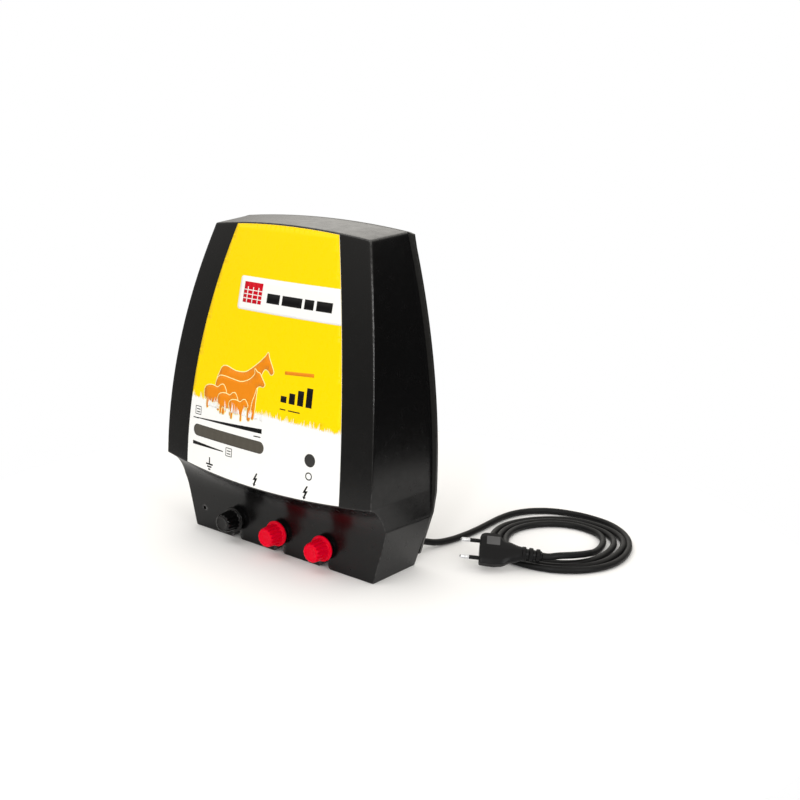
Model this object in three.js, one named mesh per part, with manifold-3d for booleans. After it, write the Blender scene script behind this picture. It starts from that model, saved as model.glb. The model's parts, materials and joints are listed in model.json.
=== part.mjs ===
// Wall-mounted mains fence energizer with three screw-down terminals, a mains lead and a flat two-pin plug.
// Units are millimetres. +Z is up, the label faces -Y, the wall plane is Y = 0 and the housing stands on Z = 0.
import * as THREE from 'three';
import { mergeVertices } from 'three/addons/utils/BufferGeometryUtils.js';
import Module from 'manifold-3d';

const wasm = await Module();
wasm.setup();

// ---------------------------------------------------------------- driving dimensions
const GAP = 0.3;            // clearance between pieces that touch
const WALL = 2.6;           // housing wall

// The label face: half width and depth from the wall plane, from its lip up to its top edge.
const FACE = { zLip: 84, zTop: 320, halfWidth: [133, 124, 96.8], depth: [91.4, 79.8, 54] };
const BULGE = { lip: 9, top: 4.3 };       // how far the middle of the face stands forward of its sides
const ARCH = { lip: -8, top: 6.5 };       // how far the middle of an edge lies above its corners
const DRAFT = { lip: 6, top: 3.8 };       // how much wider each side gets towards the back
const TOP_RISE = 4.5;                     // the top surface climbs towards the wall
const BACK_ARCH = 5.4;

// The terminal bay below the lip: a set-back panel between sides that narrow downwards.
const BAY = { panelY: -66, zCrease: 56, zPanelTop: 40, creaseHalf: 133.5, footHalf: 118.4, footHalfBack: 121.7 };
const FILLET_ANGLE = 72;                  // degrees of the hollow curve from the panel out to the lip
const CREASE_ANGLE = 20.23;               // where along that curve the crease in the sides lies
const SHELF = { z0: 12.2, z1: 14.8 };         // floor of the sealed space; the skirt below it is open
const RIM_Y = -3.3;                       // rear rim of the front casing

const PLATE = { thick: 3, z0: 13, lipOver: 9.6, topHalf: 106.4, topCornerZ: 323 };
const TERMINALS = [{ tag: 'earth', x: -59 }, { tag: 'fence_1', x: 0 }, { tag: 'fence_2', x: 59 }];
const TERMINAL_Z = 22;
const STUD_R = 3;
const RING_THICK = 2;                     // raised ring around each stud, behind its washer
const WASHER = { r: 9.5, thick: 1.5 };
const KNOB = { flangeR: 13, flange: 2.4, rearR: 10.4, frontR: 9.1, frontY: -88, lobes: 12 };
const NOTCH = { half: 4.3, top: 10, mouthR: 4.5, depth: 10 };

const LABEL_MARGIN = 34;                  // from the label's side to the side of the face
const LABEL = { thick: 0.5, recess: 0.8, edge: 0.006 };
const WINDOW = { x0: -85, x1: 2, z: 118, r: 6 };
const LAMP = { x: 64, z: 118, r: 6.3 };

const RECESS = { x0: 84, x1: 116, y0: -30, z1: 36 };   // pocket at the lower rear where the lead leaves
const CORD_R = 3.4;
const CORD_X = 100;
const CORD_Z = 20.6;
const GLAND_END_Y = -7;
const COIL = { x: 206.8, y: 141.6, outer: 83.4, inner: 47, squeeze: 0.894, z0: 0.1, z1: 7.1 };
// The plug lies propped on the coil: centre of its flat face, heading, dip towards the lead, and lean.
const PLUG = { x: 172.4, y: 34.4, z: 18.4, turn: 32.6, dip: 3.3, lean: -49.5, width: 35.3, thick: 13.7 };

// ---------------------------------------------------------------- materials
const plastic = (color, roughness) => new THREE.MeshStandardMaterial({ color, roughness, metalness: 0 });
const metal = (color, roughness) => new THREE.MeshStandardMaterial({ color, roughness, metalness: 1 });
const MATERIALS = {
  housing: plastic(0x1b1b1c, 0.22),
  plate: plastic(0x232324, 0.35),
  label: plastic(0xffe100, 0.4),
  smoked: plastic(0x4a4238, 0.12),
  lampLens: plastic(0x44403c, 0.15),
  blackKnob: plastic(0x161617, 0.3),
  redKnob: plastic(0xe00a24, 0.25),
  steel: metal(0xb9bcc0, 0.3),
  brass: metal(0xc9a45a, 0.35),
  aluminium: metal(0xb4b8bc, 0.45),
  core: metal(0x55585c, 0.6),
  board: plastic(0x1f5a33, 0.6),
  winding: plastic(0xa3622a, 0.5),
  capacitor: plastic(0x2c4f8c, 0.4),
  component: plastic(0x202022, 0.5),
  ledRed: plastic(0xb02018, 0.3),
  rubber: plastic(0x2a2a2b, 0.6),
  terminalBlock: plastic(0x4f7f58, 0.5),
  sleeve: plastic(0x262628, 0.5),
};

// ---------------------------------------------------------------- solids from geometries
// A closed geometry as a solid that can be joined and cut.
function solid(geometry) {
  const bare = geometry.index ? geometry.toNonIndexed() : geometry.clone();
  for (const name of Object.keys(bare.attributes)) {
    if (name !== 'position') bare.deleteAttribute(name);
  }
  const merged = mergeVertices(bare, 1e-4);
  const triVerts = new Uint32Array(merged.index.array);
  return new wasm.Manifold(new wasm.Mesh({
    numProp: 3, vertProperties: merged.attributes.position.array, triVerts,
  }));
}

// A solid back as a geometry with a normal for each facet.
function geometryOf(shape) {
  const { vertProperties, triVerts, numProp } = shape.getMesh();
  const positions = new Float32Array(triVerts.length * 3);
  triVerts.forEach((vertex, corner) => {
    for (let axis = 0; axis < 3; axis++) positions[corner * 3 + axis] = vertProperties[vertex * numProp + axis];
  });
  const geometry = new THREE.BufferGeometry();
  geometry.setAttribute('position', new THREE.BufferAttribute(positions, 3));
  geometry.computeVertexNormals();
  return geometry;
}

const join = (first, ...others) => others.reduce((sum, other) => sum.add(other), first);
const cut = (first, ...others) => others.reduce((rest, other) => rest.subtract(other), first);

function box(x0, x1, y0, y1, z0, z1) {
  const geometry = new THREE.BoxGeometry(x1 - x0, y1 - y0, z1 - z0);
  return solid(geometry.translate((x0 + x1) / 2, (y0 + y1) / 2, (z0 + z1) / 2));
}

// A cylinder or cone along Y from y0 (radius r0) to y1 (radius r1).
function rodY(x, z, y0, y1, r0, r1 = r0, sides = 20) {
  const geometry = new THREE.CylinderGeometry(r1, r0, y1 - y0, sides);
  return solid(geometry.translate(x, (y0 + y1) / 2, z));
}

// The same along Z.
function rodZ(x, y, z0, z1, r0, r1 = r0, sides = 20) {
  const geometry = new THREE.CylinderGeometry(r1, r0, z1 - z0, sides).rotateX(Math.PI / 2);
  return solid(geometry.translate(x, y, (z0 + z1) / 2));
}

// A 2-D shape drawn in X and Z, pushed along Y from y0 to y1.
function slabY(shape, y0, y1, curveSegments = 8) {
  const geometry = new THREE.ExtrudeGeometry(shape, { depth: y1 - y0, bevelEnabled: false, curveSegments });
  return solid(geometry.rotateX(Math.PI / 2).translate(0, y1, 0));
}

// A round bar along a smooth curve through the points.
function bar(points, radius, sides, steps) {
  const path = new THREE.CatmullRomCurve3(points.map((point) => new THREE.Vector3(...point)));
  const section = new THREE.Shape();
  for (let side = 0; side < sides; side++) {
    const angle = (side / sides) * 2 * Math.PI;
    const [x, y] = [radius * Math.cos(angle), radius * Math.sin(angle)];
    if (side === 0) section.moveTo(x, y);
    else section.lineTo(x, y);
  }
  section.closePath();
  return solid(new THREE.ExtrudeGeometry(section, { steps, extrudePath: path, bevelEnabled: false }));
}

// A body between a front and a rear sheet of points, both grid[row][column].
function between(front, rear) {
  const rows = front.length;
  const columns = front[0].length;
  const positions = [...front.flat(), ...rear.flat()].flat();
  const index = [];
  const at = (sheet, row, column) => sheet * rows * columns + row * columns + column;
  const quad = (a, b, c, d) => index.push(a, b, c, a, c, d);
  for (let row = 0; row + 1 < rows; row++) {
    for (let column = 0; column + 1 < columns; column++) {
      quad(at(0, row, column), at(0, row + 1, column), at(0, row + 1, column + 1), at(0, row, column + 1));
      quad(at(1, row, column), at(1, row, column + 1), at(1, row + 1, column + 1), at(1, row + 1, column));
    }
    const last = columns - 1;
    quad(at(0, row, 0), at(1, row, 0), at(1, row + 1, 0), at(0, row + 1, 0));
    quad(at(0, row, last), at(0, row + 1, last), at(1, row + 1, last), at(1, row, last));
  }
  for (let column = 0; column + 1 < columns; column++) {
    const last = rows - 1;
    quad(at(0, 0, column), at(0, 0, column + 1), at(1, 0, column + 1), at(1, 0, column));
    quad(at(0, last, column), at(1, last, column), at(1, last, column + 1), at(0, last, column + 1));
  }
  const geometry = new THREE.BufferGeometry();
  geometry.setAttribute('position', new THREE.Float32BufferAttribute(positions, 3));
  geometry.setIndex(index);
  return solid(geometry);
}

// ---------------------------------------------------------------- the housing's surfaces
const mix = (from, to, share) => from + (to - from) * share;

// The parabola through a value at the lip, half way up and at the top of the face.
function through([lip, middle, top], share) {
  return lip * (1 - share) * (1 - 2 * share) + 4 * middle * share * (1 - share) + top * share * (2 * share - 1);
}

const shareAt = (z) => (z - FACE.zLip) / (FACE.zTop - FACE.zLip);
const faceHalf = (share) => through(FACE.halfWidth, share);

// A point of the label face: share of its height, distance from the middle, distance behind the surface.
function facePoint(share, x, inset = 0) {
  const across = 1 - (x / faceHalf(share)) ** 2;
  const z = mix(FACE.zLip, FACE.zTop, share) + mix(ARCH.lip, ARCH.top, share) * across;
  return [x, -(through(FACE.depth, share) + mix(BULGE.lip, BULGE.top, share) * across - inset), z];
}

// Half width of the terminal bay's front, and of its rear edge.
const bayHalf = (z) => mix(BAY.footHalf, BAY.creaseHalf, z / BAY.zCrease);
const bayHalfBack = (z) => mix(BAY.footHalfBack, BAY.creaseHalf + DRAFT.lip, z / BAY.zCrease);

const COLUMNS = 8;
const across = Array.from({ length: COLUMNS + 1 }, (_, column) => (2 * column) / COLUMNS - 1);

// Rows of front points from the top edge down to zBottom, each with its rear points at y = rearY.
// The inset moves every surface inwards by the wall.
function housingBody(inset, rearY, zBottom, faceRows) {
  const front = [];
  const rear = [];
  const topShare = 1 - (inset * 1.1) / (FACE.zTop - FACE.zLip);
  const lipShare = (inset * 1.3) / (FACE.zTop - FACE.zLip);
  for (let row = 0; row <= faceRows; row++) {
    const share = mix(topShare, lipShare, row / faceRows);
    const half = faceHalf(share) - inset;
    const halfBack = faceHalf(share) + mix(DRAFT.lip, DRAFT.top, share) - inset;
    front.push(across.map((s) => facePoint(share, s * half, inset)));
    rear.push(across.map((s) => [
      s * halfBack, rearY,
      mix(FACE.zLip, FACE.zTop, share) + share * (TOP_RISE + BACK_ARCH * (1 - s * s)),
    ]));
  }
  const angles = [inset > 0 ? 64 : 60, 45, 31, CREASE_ANGLE, 9, 0];
  const full = THREE.MathUtils.degToRad(FILLET_ANGLE);
  for (const degrees of angles) {
    const angle = THREE.MathUtils.degToRad(degrees);
    const reach = (1 - Math.cos(angle)) / (1 - Math.cos(full));
    const rise = Math.sin(angle) / Math.sin(full);
    const edgeZ = BAY.zPanelTop + (FACE.zLip - BAY.zPanelTop) * rise;
    const inBay = edgeZ < BAY.zCrease + 0.5;
    const half = (inBay ? bayHalf(edgeZ) : FACE.halfWidth[0]) - inset;
    const halfBack = (inBay ? bayHalfBack(edgeZ) : FACE.halfWidth[0] + DRAFT.lip) - inset;
    front.push(across.map((s) => {
      const middle = 1 - s * s;
      const out = (FACE.depth[0] + BAY.panelY + BULGE.lip * middle) * reach;
      const up = (FACE.zLip - BAY.zPanelTop + ARCH.lip * middle) * rise;
      return [s * half, BAY.panelY - out + inset * Math.cos(angle), BAY.zPanelTop + up + inset * Math.sin(angle)];
    }));
    rear.push(across.map((s) => [s * halfBack, rearY, edgeZ + inset * Math.sin(angle)]));
  }
  front.push(across.map((s) => [s * (bayHalf(zBottom) - inset), BAY.panelY + inset, zBottom]));
  rear.push(across.map((s) => [s * (bayHalfBack(zBottom) - inset), rearY, zBottom]));
  return between(front, rear);
}

// A sheet that follows the label face between two depths, inset from the sides of the face.
function faceSheet(sideMargin, shareLow, shareHigh, outerDepth, innerDepth, rows) {
  const sheet = (depth) => Array.from({ length: rows + 1 }, (_, row) => {
    const share = mix(shareHigh, shareLow, row / rows);
    const half = faceHalf(share) - sideMargin;
    return across.map((s) => facePoint(share, s * half, depth));
  });
  return between(sheet(outerDepth), sheet(innerDepth));
}

function stadium(x0, x1, z, r) {
  const shape = new THREE.Shape();
  shape.absarc(x1, z, r, -Math.PI / 2, Math.PI / 2, false);
  shape.absarc(x0, z, r, Math.PI / 2, (3 * Math.PI) / 2, false);
  return shape;
}

// ---------------------------------------------------------------- front casing
const FACE_BACK = -75;      // a plane behind the whole of the lower label face
const BOARD_POSTS = [{ x: -98, z: 118 }, { x: 26, z: 118 }, { x: 78, z: 118 }];
const DISPLAY = { y0: -82, y1: -80.4, x0: -103, x1: 83, z0: 106, z1: 130 };
const HOUSING_SCREWS = [300, 180, 72].flatMap((z) => [-1, 1].map((side) => {
  const share = shareAt(z);
  const wallInside = faceHalf(Math.max(share, 0)) + mix(DRAFT.lip, DRAFT.top, share) - 1.4 - WALL;
  return { x: side * (wallInside - 5.2), z };
}));
const BOSS = { r: 5.8, y0: -34, y1: -6.6, bore: 2.05, boreY: -21 };

function cableNotch(x) {
  const shape = new THREE.Shape();
  const { half, top, mouthR } = NOTCH;
  shape.moveTo(x - half - mouthR, -1);
  shape.lineTo(x + half + mouthR, -1);
  shape.lineTo(x + half + mouthR, 0);
  shape.absarc(x + half + mouthR, mouthR, mouthR, (3 * Math.PI) / 2, Math.PI, true);
  shape.lineTo(x + half, top);
  shape.lineTo(x - half, top);
  shape.lineTo(x - half, mouthR);
  shape.absarc(x - half - mouthR, mouthR, mouthR, 0, -Math.PI / 2, true);
  shape.lineTo(x - half - mouthR, -1);
  return slabY(shape, BAY.panelY - 1, BAY.panelY + NOTCH.depth + 1, 5);
}

function frontCasing() {
  const outer = housingBody(0, RIM_Y, 0, 8);
  let casing = cut(outer, housingBody(WALL, 6, SHELF.z1, 8));
  const skirtInner = BAY.panelY + WALL;
  const skirt = between(
    [[SHELF.z0], [-1]].map(([z]) => [-1, 1].map((s) => [s * (bayHalf(z) - WALL), skirtInner, z])),
    [[SHELF.z0], [-1]].map(([z]) => [-1, 1].map((s) => [s * (bayHalfBack(z) - WALL), RIM_Y - WALL, z])),
  );
  casing = cut(casing, skirt);

  // Pocket for the lead, closed against the sealed space by its own walls.
  const { x0, x1, y0, z1 } = RECESS;
  const pocketWalls = box(x0 - WALL, x1 + WALL, y0 - WALL, RIM_Y, SHELF.z0, z1 + WALL);
  casing = cut(join(casing, pocketWalls), box(x0, x1, y0, 1, -1, z1));
  casing = cut(casing, rodY(CORD_X, CORD_Z, y0 - 4, y0 + 1, 5.3));

  // Screw bosses against the side walls.
  for (const { x, z } of HOUSING_SCREWS) {
    casing = join(casing, rodY(x, z, BOSS.y0, BOSS.y1, BOSS.r, BOSS.r, 10).intersect(outer));
    casing = cut(casing, rodY(x, z, BOSS.boreY, 0, BOSS.bore, BOSS.bore, 8));
  }
  // Posts that carry the display board, with a pin through each of its holes.
  for (const { x, z } of BOARD_POSTS) {
    casing = join(casing, rodY(x, z, -95, DISPLAY.y0 - GAP, 3, 3, 8).intersect(outer));
    casing = join(casing, rodY(x, z, -95, DISPLAY.y1 + 1, 1.1, 1.1, 6).intersect(outer));
  }
  // Terminals: raised ring, stud hole, and a cable notch with deep side walls in the skirt.
  for (const { x } of TERMINALS) {
    const ribs = box(x - NOTCH.half - WALL, x + NOTCH.half + WALL, skirtInner - 0.5,
      BAY.panelY + NOTCH.depth, 0, SHELF.z0 + 0.5);
    casing = join(casing, ribs, rodY(x, TERMINAL_Z, BAY.panelY - RING_THICK, BAY.panelY + 0.5, 11, 11, 24));
    casing = cut(casing, cableNotch(x), rodY(x, TERMINAL_Z, -70, -60, STUD_R + GAP));
  }
  // Label recess, display window, lamp and the small round hole beside the earth terminal.
  const e = LABEL.edge;
  casing = cut(casing, faceSheet(LABEL_MARGIN - GAP, e - 0.002, 1 - e + 0.002, -3, LABEL.recess, 8));
  casing = cut(casing, slabY(stadium(WINDOW.x0, WINDOW.x1, WINDOW.z, WINDOW.r), -120, FACE_BACK));
  casing = cut(casing, rodY(LAMP.x, LAMP.z, -120, FACE_BACK, LAMP.r));
  return cut(casing, rodY(-106, TERMINAL_Z, -70, -60, 2, 2, 12));
}

function labelMembrane() {
  const e = LABEL.edge;
  const sheet = faceSheet(LABEL_MARGIN, e, 1 - e, LABEL.recess - GAP - LABEL.thick, LABEL.recess - GAP, 8);
  return cut(sheet, slabY(stadium(WINDOW.x0, WINDOW.x1, WINDOW.z, WINDOW.r), -120, FACE_BACK),
    rodY(LAMP.x, LAMP.z, -120, FACE_BACK, LAMP.r));
}

function lens(outline) {
  return faceSheet(LABEL_MARGIN, 0, 0.5, 0.2, 2, 4).intersect(outline);
}

// ---------------------------------------------------------------- rear plate
function plateOutline() {
  const shape = new THREE.Shape();
  const right = [[bayHalfBack(PLATE.z0) + 0.8, PLATE.z0], [140, 60], [FACE.halfWidth[0] + PLATE.lipOver, 80]];
  for (let step = 1; step < 9; step++) {
    const share = step / 9;
    right.push([faceHalf(share) + PLATE.lipOver, mix(FACE.zLip, FACE.zTop, share)]);
  }
  right.push([PLATE.topHalf, PLATE.topCornerZ]);
  const topHalf = FACE.halfWidth[2] + DRAFT.top;
  const crown = [];
  for (let step = 0; step <= 10; step++) {
    const s = 1 - step / 5;
    crown.push([s * topHalf, FACE.zTop + TOP_RISE + BACK_ARCH * (1 - s * s)]);
  }
  const left = right.map(([x, z]) => [-x, z]).reverse();
  [...right, ...crown, ...left].forEach(([x, z], order) => {
    if (order === 0) shape.moveTo(x, z);
    else shape.lineTo(x, z);
  });
  shape.closePath();
  return shape;
}

const KEYHOLES = [{ x: -70, z: 284 }, { x: 70, z: 284 }];
const KEYHOLE = { head: 4.6, neck: 2.4, rise: 11 };
const STANDOFFS = [[-88, 108], [88, 108], [-88, 244], [88, 244]].map(([x, z]) => ({ x, z }));
const BOARD = { y0: -17.6, y1: -16, x0: -95, x1: 95, z0: 100, z1: 252 };

function rearPlate() {
  const front = -PLATE.thick;
  let plate = slabY(plateOutline(), front, 0);
  plate = cut(plate, box(RECESS.x0, RECESS.x1, front - 1, 1, 0, RECESS.z1));
  for (const { x, z } of KEYHOLES) {
    // A closed pocket keeps the screw head out of the sealed space.
    plate = join(plate, box(x - 7, x + 7, -10, front + 0.5, z - 7, z + KEYHOLE.rise + 5));
    plate = cut(plate, box(x - 5.2, x + 5.2, -8.5, -1.6, z - 5.2, z + KEYHOLE.rise + 3.2));
    plate = cut(plate, rodY(x, z, -3, 1, KEYHOLE.head, KEYHOLE.head, 16), box(x - KEYHOLE.neck, x + KEYHOLE.neck, -3, 1, z, z + KEYHOLE.rise),
      rodY(x, z + KEYHOLE.rise, -3, 1, KEYHOLE.neck, KEYHOLE.neck, 10));
  }
  for (const { x, z } of STANDOFFS) {
    plate = join(plate, rodY(x, z, BOARD.y1 + GAP, front + 0.5, 4, 4.6, 10));
    plate = cut(plate, rodY(x, z, BOARD.y1 - 1, -5, 1.7, 1.7, 8));
  }
  for (const { x, z } of HOUSING_SCREWS) {
    plate = cut(plate, rodY(x, z, -4, 1, 2.2, 2.2, 10), rodY(x, z, -2.4, 0.3, 2.2, 4.8, 10));
  }
  return plate;
}

// A compression seal just inside the casing's rear rim.
function housingSeal() {
  const edge = (inset) => {
    const points = [];
    const add = (half, z) => points.push([half - inset, z]);
    add(bayHalfBack(SHELF.z1), SHELF.z1 + inset);
    add(bayHalfBack(BAY.zCrease), BAY.zCrease);
    add(FACE.halfWidth[0] + DRAFT.lip, FACE.zLip - 10);
    for (let step = 0; step <= 8; step++) {
      const share = step / 8;
      const z = mix(FACE.zLip, FACE.zTop, share) + share * TOP_RISE - (step === 8 ? inset : 0);
      add(faceHalf(share) + mix(DRAFT.lip, DRAFT.top, share), z);
    }
    const right = points.slice();
    for (let step = 1; step < 10; step++) {
      const s = 1 - step / 5;
      const half = FACE.halfWidth[2] + DRAFT.top - inset;
      points.push([s * half, FACE.zTop + TOP_RISE - inset + BACK_ARCH * (1 - s * s)]);
    }
    return [...points, ...right.map(([x, z]) => [-x, z]).reverse()].map(([x, z]) => new THREE.Vector2(x, z));
  };
  const shape = new THREE.Shape(edge(WALL + 1.7));
  shape.holes.push(new THREE.Path(edge(WALL + 3.6)));
  const ring = slabY(shape, -5.9, RIM_Y);
  return cut(ring, box(RECESS.x0 - WALL - 0.4, RECESS.x1 + WALL + 0.4, -8, 0, 10, RECESS.z1 + WALL + 0.4));
}

function screw(x, z, headY, tipY, shaftR, headR, headDeep) {
  const body = join(rodY(x, z, tipY, headY - 0.2, shaftR, shaftR, 8),
    rodY(x, z, headY - headDeep, headY, shaftR, headR, 10));
  return cut(body, box(x - headR * 0.6, x + headR * 0.6, headY - 1, headY + 1, z - 0.45, z + 0.45),
    box(x - 0.45, x + 0.45, headY - 1, headY + 1, z - headR * 0.6, z + headR * 0.6));
}

// A pan-head screw that goes in from the label side.
function boardScrew(x, z) {
  const head = BOARD.y0 - GAP;
  const body = join(rodY(x, z, head - 2, head, 2.6, 3, 10), rodY(x, z, head - 0.5, -8, 1.2, 1.2, 6));
  return cut(body, box(x - 1.7, x + 1.7, head - 3, head - 1.1, z - 0.4, z + 0.4));
}

// ---------------------------------------------------------------- terminals
const PANEL_FRONT = BAY.panelY - RING_THICK;
const WASHER_Y = { y1: PANEL_FRONT - GAP, y0: PANEL_FRONT - GAP - WASHER.thick };
const KNOB_REAR = WASHER_Y.y0 - GAP;
const INSERT = { y0: -80, y1: KNOB_REAR - 0.4, r: 5.2 };

function hexRod(x, z, y0, y1, r) {
  return rodY(x, z, y0, y1, r, r, 6);
}

function stud(x) {
  return join(rodY(x, TERMINAL_Z, -85.2, -46, STUD_R, STUD_R, 14),
    hexRod(x, TERMINAL_Z, BAY.panelY + WALL + GAP, BAY.panelY + WALL + GAP + 2, 7));
}

function knob(x) {
  const sides = KNOB.lobes * 4;
  const ring = (y, radius, depth) => Array.from({ length: sides }, (_, side) => {
    const angle = (side / sides) * 2 * Math.PI;
    const r = radius + depth * Math.cos(KNOB.lobes * angle);
    return new THREE.Vector3(x + r * Math.cos(angle), y, TERMINAL_Z + r * Math.sin(angle));
  });
  const flangeY = KNOB_REAR - KNOB.flange;
  const rings = [ring(flangeY + 1, KNOB.rearR, 0.5), ring(KNOB.frontY + 1.4, KNOB.frontR, 0.5),
    ring(KNOB.frontY, KNOB.frontR - 1.2, 0.35)];
  const ends = [new THREE.Vector3(x, flangeY + 1, TERMINAL_Z), new THREE.Vector3(x, KNOB.frontY, TERMINAL_Z)];
  const points = [...rings.flat(), ...ends];
  const index = [];
  for (let side = 0; side < sides; side++) {
    const next = (side + 1) % sides;
    index.push(next, side, rings.length * sides);
    for (let level = 0; level + 1 < rings.length; level++) {
      const [a, b] = [level * sides + side, level * sides + next];
      index.push(a, b, b + sides, a, b + sides, a + sides);
    }
    const top = (rings.length - 1) * sides;
    index.push(top + side, top + next, rings.length * sides + 1);
  }
  const geometry = new THREE.BufferGeometry().setFromPoints(points);
  geometry.setIndex(index);
  const flange = rodY(x, TERMINAL_Z, flangeY, KNOB_REAR, KNOB.flangeR - 0.5, KNOB.flangeR, 24);
  const body = join(solid(geometry), flange);
  return cut(body, hexRod(x, TERMINAL_Z, INSERT.y0 - GAP, KNOB_REAR + 1, INSERT.r + GAP),
    rodY(x, TERMINAL_Z, -86, -70, STUD_R + 0.4, STUD_R + 0.4, 14));
}

// An insulated lead with an eyelet over the stud, up to the circuit board.
function lead(x, boardX) {
  const eyeletY = BAY.panelY + WALL + GAP + 2 + GAP;
  const eyelet = join(rodY(x, TERMINAL_Z, eyeletY, eyeletY + 1, 6, 6, 16), box(x - 2, x + 2, eyeletY, eyeletY + 1, TERMINAL_Z, 34));
  const wire = bar([[x, eyeletY + 0.8, 30], [x, eyeletY + 3, 40], [mix(x, boardX, 0.4), -46, 66],
    [mix(x, boardX, 0.9), -28, 88], [boardX, -20.2, 106]], 1.6, 6, 8);
  return cut(join(eyelet, wire), rodY(x, TERMINAL_Z, eyeletY - 1, eyeletY + 2, STUD_R + 0.4, STUD_R + 0.4, 14));
}

// ---------------------------------------------------------------- electronics
function displayBoard() {
  let board = box(DISPLAY.x0, DISPLAY.x1, DISPLAY.y0, DISPLAY.y1, DISPLAY.z0, DISPLAY.z1);
  for (const { x, z } of BOARD_POSTS) board = cut(board, rodY(x, z, -90, -75, 1.5, 1.5, 8));
  return board;
}

function ledBar() {
  const front = DISPLAY.y0 - GAP;
  const count = 10;
  const pitch = (WINDOW.x1 - WINDOW.x0 + 6) / count;
  let strip = box(WINDOW.x0 - 4, WINDOW.x1 + 4, front - 4, front, WINDOW.z - 4.6, WINDOW.z + 4.6);
  for (let segment = 0; segment < count; segment++) {
    const x = WINDOW.x0 - 3 + pitch * (segment + 0.5);
    strip = join(strip, box(x - 3.2, x + 3.2, front - 6, front - 3.5, WINDOW.z - 3.4, WINDOW.z + 3.4));
  }
  return strip;
}

function alarmLed() {
  const front = DISPLAY.y0 - GAP;
  return join(rodY(LAMP.x, LAMP.z, front - 1, front, 2.9, 2.9, 12), rodY(LAMP.x, LAMP.z, front - 6, front - 0.5, 2.2, 2.5, 12));
}

const CORE = { x: -40, z: 152, halfX: 35, halfZ: 29, y0: -62, y1: -32, leg: 11, window: 12 };

function transformerCore() {
  const { x, z, halfX, halfZ, y0, y1, leg, window } = CORE;
  const openings = [-1, 1].map((side) => {
    const inner = x + side * leg;
    const outer = x + side * (leg + window);
    return box(Math.min(inner, outer), Math.max(inner, outer), y0 - 1, y1 + 1, z - halfZ + leg, z + halfZ - leg);
  });
  return cut(box(x - halfX, x + halfX, y0, y1, z - halfZ, z + halfZ), ...openings);
}

function transformerWinding() {
  const { x, z, halfZ, y0, y1, leg, window } = CORE;
  const outer = leg + window - GAP;
  const high = halfZ - leg - GAP;
  return cut(box(x - outer, x + outer, y0 - window + 2, y1 + window + 2.1, z - high, z + high),
    box(x - leg - GAP, x + leg + GAP, y0 - GAP, y1 + GAP, z - 99, z + 99));
}

// Rounded box standing on the circuit board.
function component(x0, x1, z0, z1, height, corner) {
  const shape = new THREE.Shape();
  shape.moveTo(x0 + corner, z0);
  shape.lineTo(x1 - corner, z0);
  shape.absarc(x1 - corner, z0 + corner, corner, -Math.PI / 2, 0, false);
  shape.absarc(x1 - corner, z1 - corner, corner, 0, Math.PI / 2, false);
  shape.absarc(x0 + corner, z1 - corner, corner, Math.PI / 2, Math.PI, false);
  shape.absarc(x0 + corner, z0 + corner, corner, Math.PI, 1.5 * Math.PI, false);
  return slabY(shape, BOARD.y0 - GAP - height, BOARD.y0 - GAP, 3);
}

function circuitBoard() {
  let board = box(BOARD.x0, BOARD.x1, BOARD.y0, BOARD.y1, BOARD.z0, BOARD.z1);
  for (const { x, z } of STANDOFFS) board = cut(board, rodY(x, z, -20, -14, 1.7, 1.7, 8));
  return board;
}

function heatSink() {
  const rear = BOARD.y0 - GAP;
  let sink = box(-84, -24, rear - 34, rear, 214, 218);
  for (let fin = 0; fin < 6; fin++) {
    const x = -83 + fin * 11.4;
    sink = join(sink, box(x, x + 1.8, rear - 34, rear, 217, 236));
  }
  return sink;
}

function thyristor() {
  const rear = BOARD.y0 - GAP;
  return join(box(-59, -49, rear - 24, rear - 8, 209.2, 213.7), box(-57, -51, rear - 8.5, rear, 210.5, 211.5));
}

function fuseHolder() {
  const rear = BOARD.y0 - GAP;
  const ends = [0, 1].map((end) => component(26 + end * 22, 32 + end * 22, 208, 216, 9, 1));
  return join(slabY(new THREE.Shape([[26, 209], [54, 209], [54, 215], [26, 215]].map(([x, z]) => new THREE.Vector2(x, z))),
    rear - 3, rear), ...ends, solid(new THREE.CylinderGeometry(2.6, 2.6, 24, 10).rotateZ(Math.PI / 2).translate(40, rear - 6, 212)));
}

function mainsTerminal() {
  let block = component(60, 88, 116, 130, 13, 1);
  for (const x of [67, 81]) {
    block = cut(block, rodY(x, 123, BOARD.y0 - 20, BOARD.y0 - 6, 2.6, 2.6, 12));
  }
  return block;
}

// ---------------------------------------------------------------- mains lead and plug
function gland() {
  const { y0 } = RECESS;
  return join(
    rodY(CORD_X, CORD_Z, y0 - WALL - GAP - 3, y0 - WALL - GAP, 5.5),
    rodY(CORD_X, CORD_Z, y0 - WALL - 1, y0 + 1, 5),
    rodY(CORD_X, CORD_Z, y0 + GAP, y0 + GAP + 3, 8),
    rodY(CORD_X, CORD_Z, y0 + 2, GLAND_END_Y, 6.4, 4.4),
  );
}

const INNER_CORD = [[CORD_X, -36.3, CORD_Z], [CORD_X, -42, CORD_Z], [CORD_X, -47, 30], [99, -42, 46], [97, -24, 60],
  [96, -13, 70], [92, -13.5, 82], [82, -21, 96], [75, -24.4, 107], [74, -24.4, 115]];

// A saddle that holds the lead against the rear plate.
function cordClamp() {
  const saddle = box(85, 107, -19.5, -PLATE.thick - GAP, 66, 74);
  return cut(saddle, bar(INNER_CORD, CORD_R + 0.8, 12, 24), box(91.4, 100.4, -13, 0, 60, 80));
}

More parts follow.
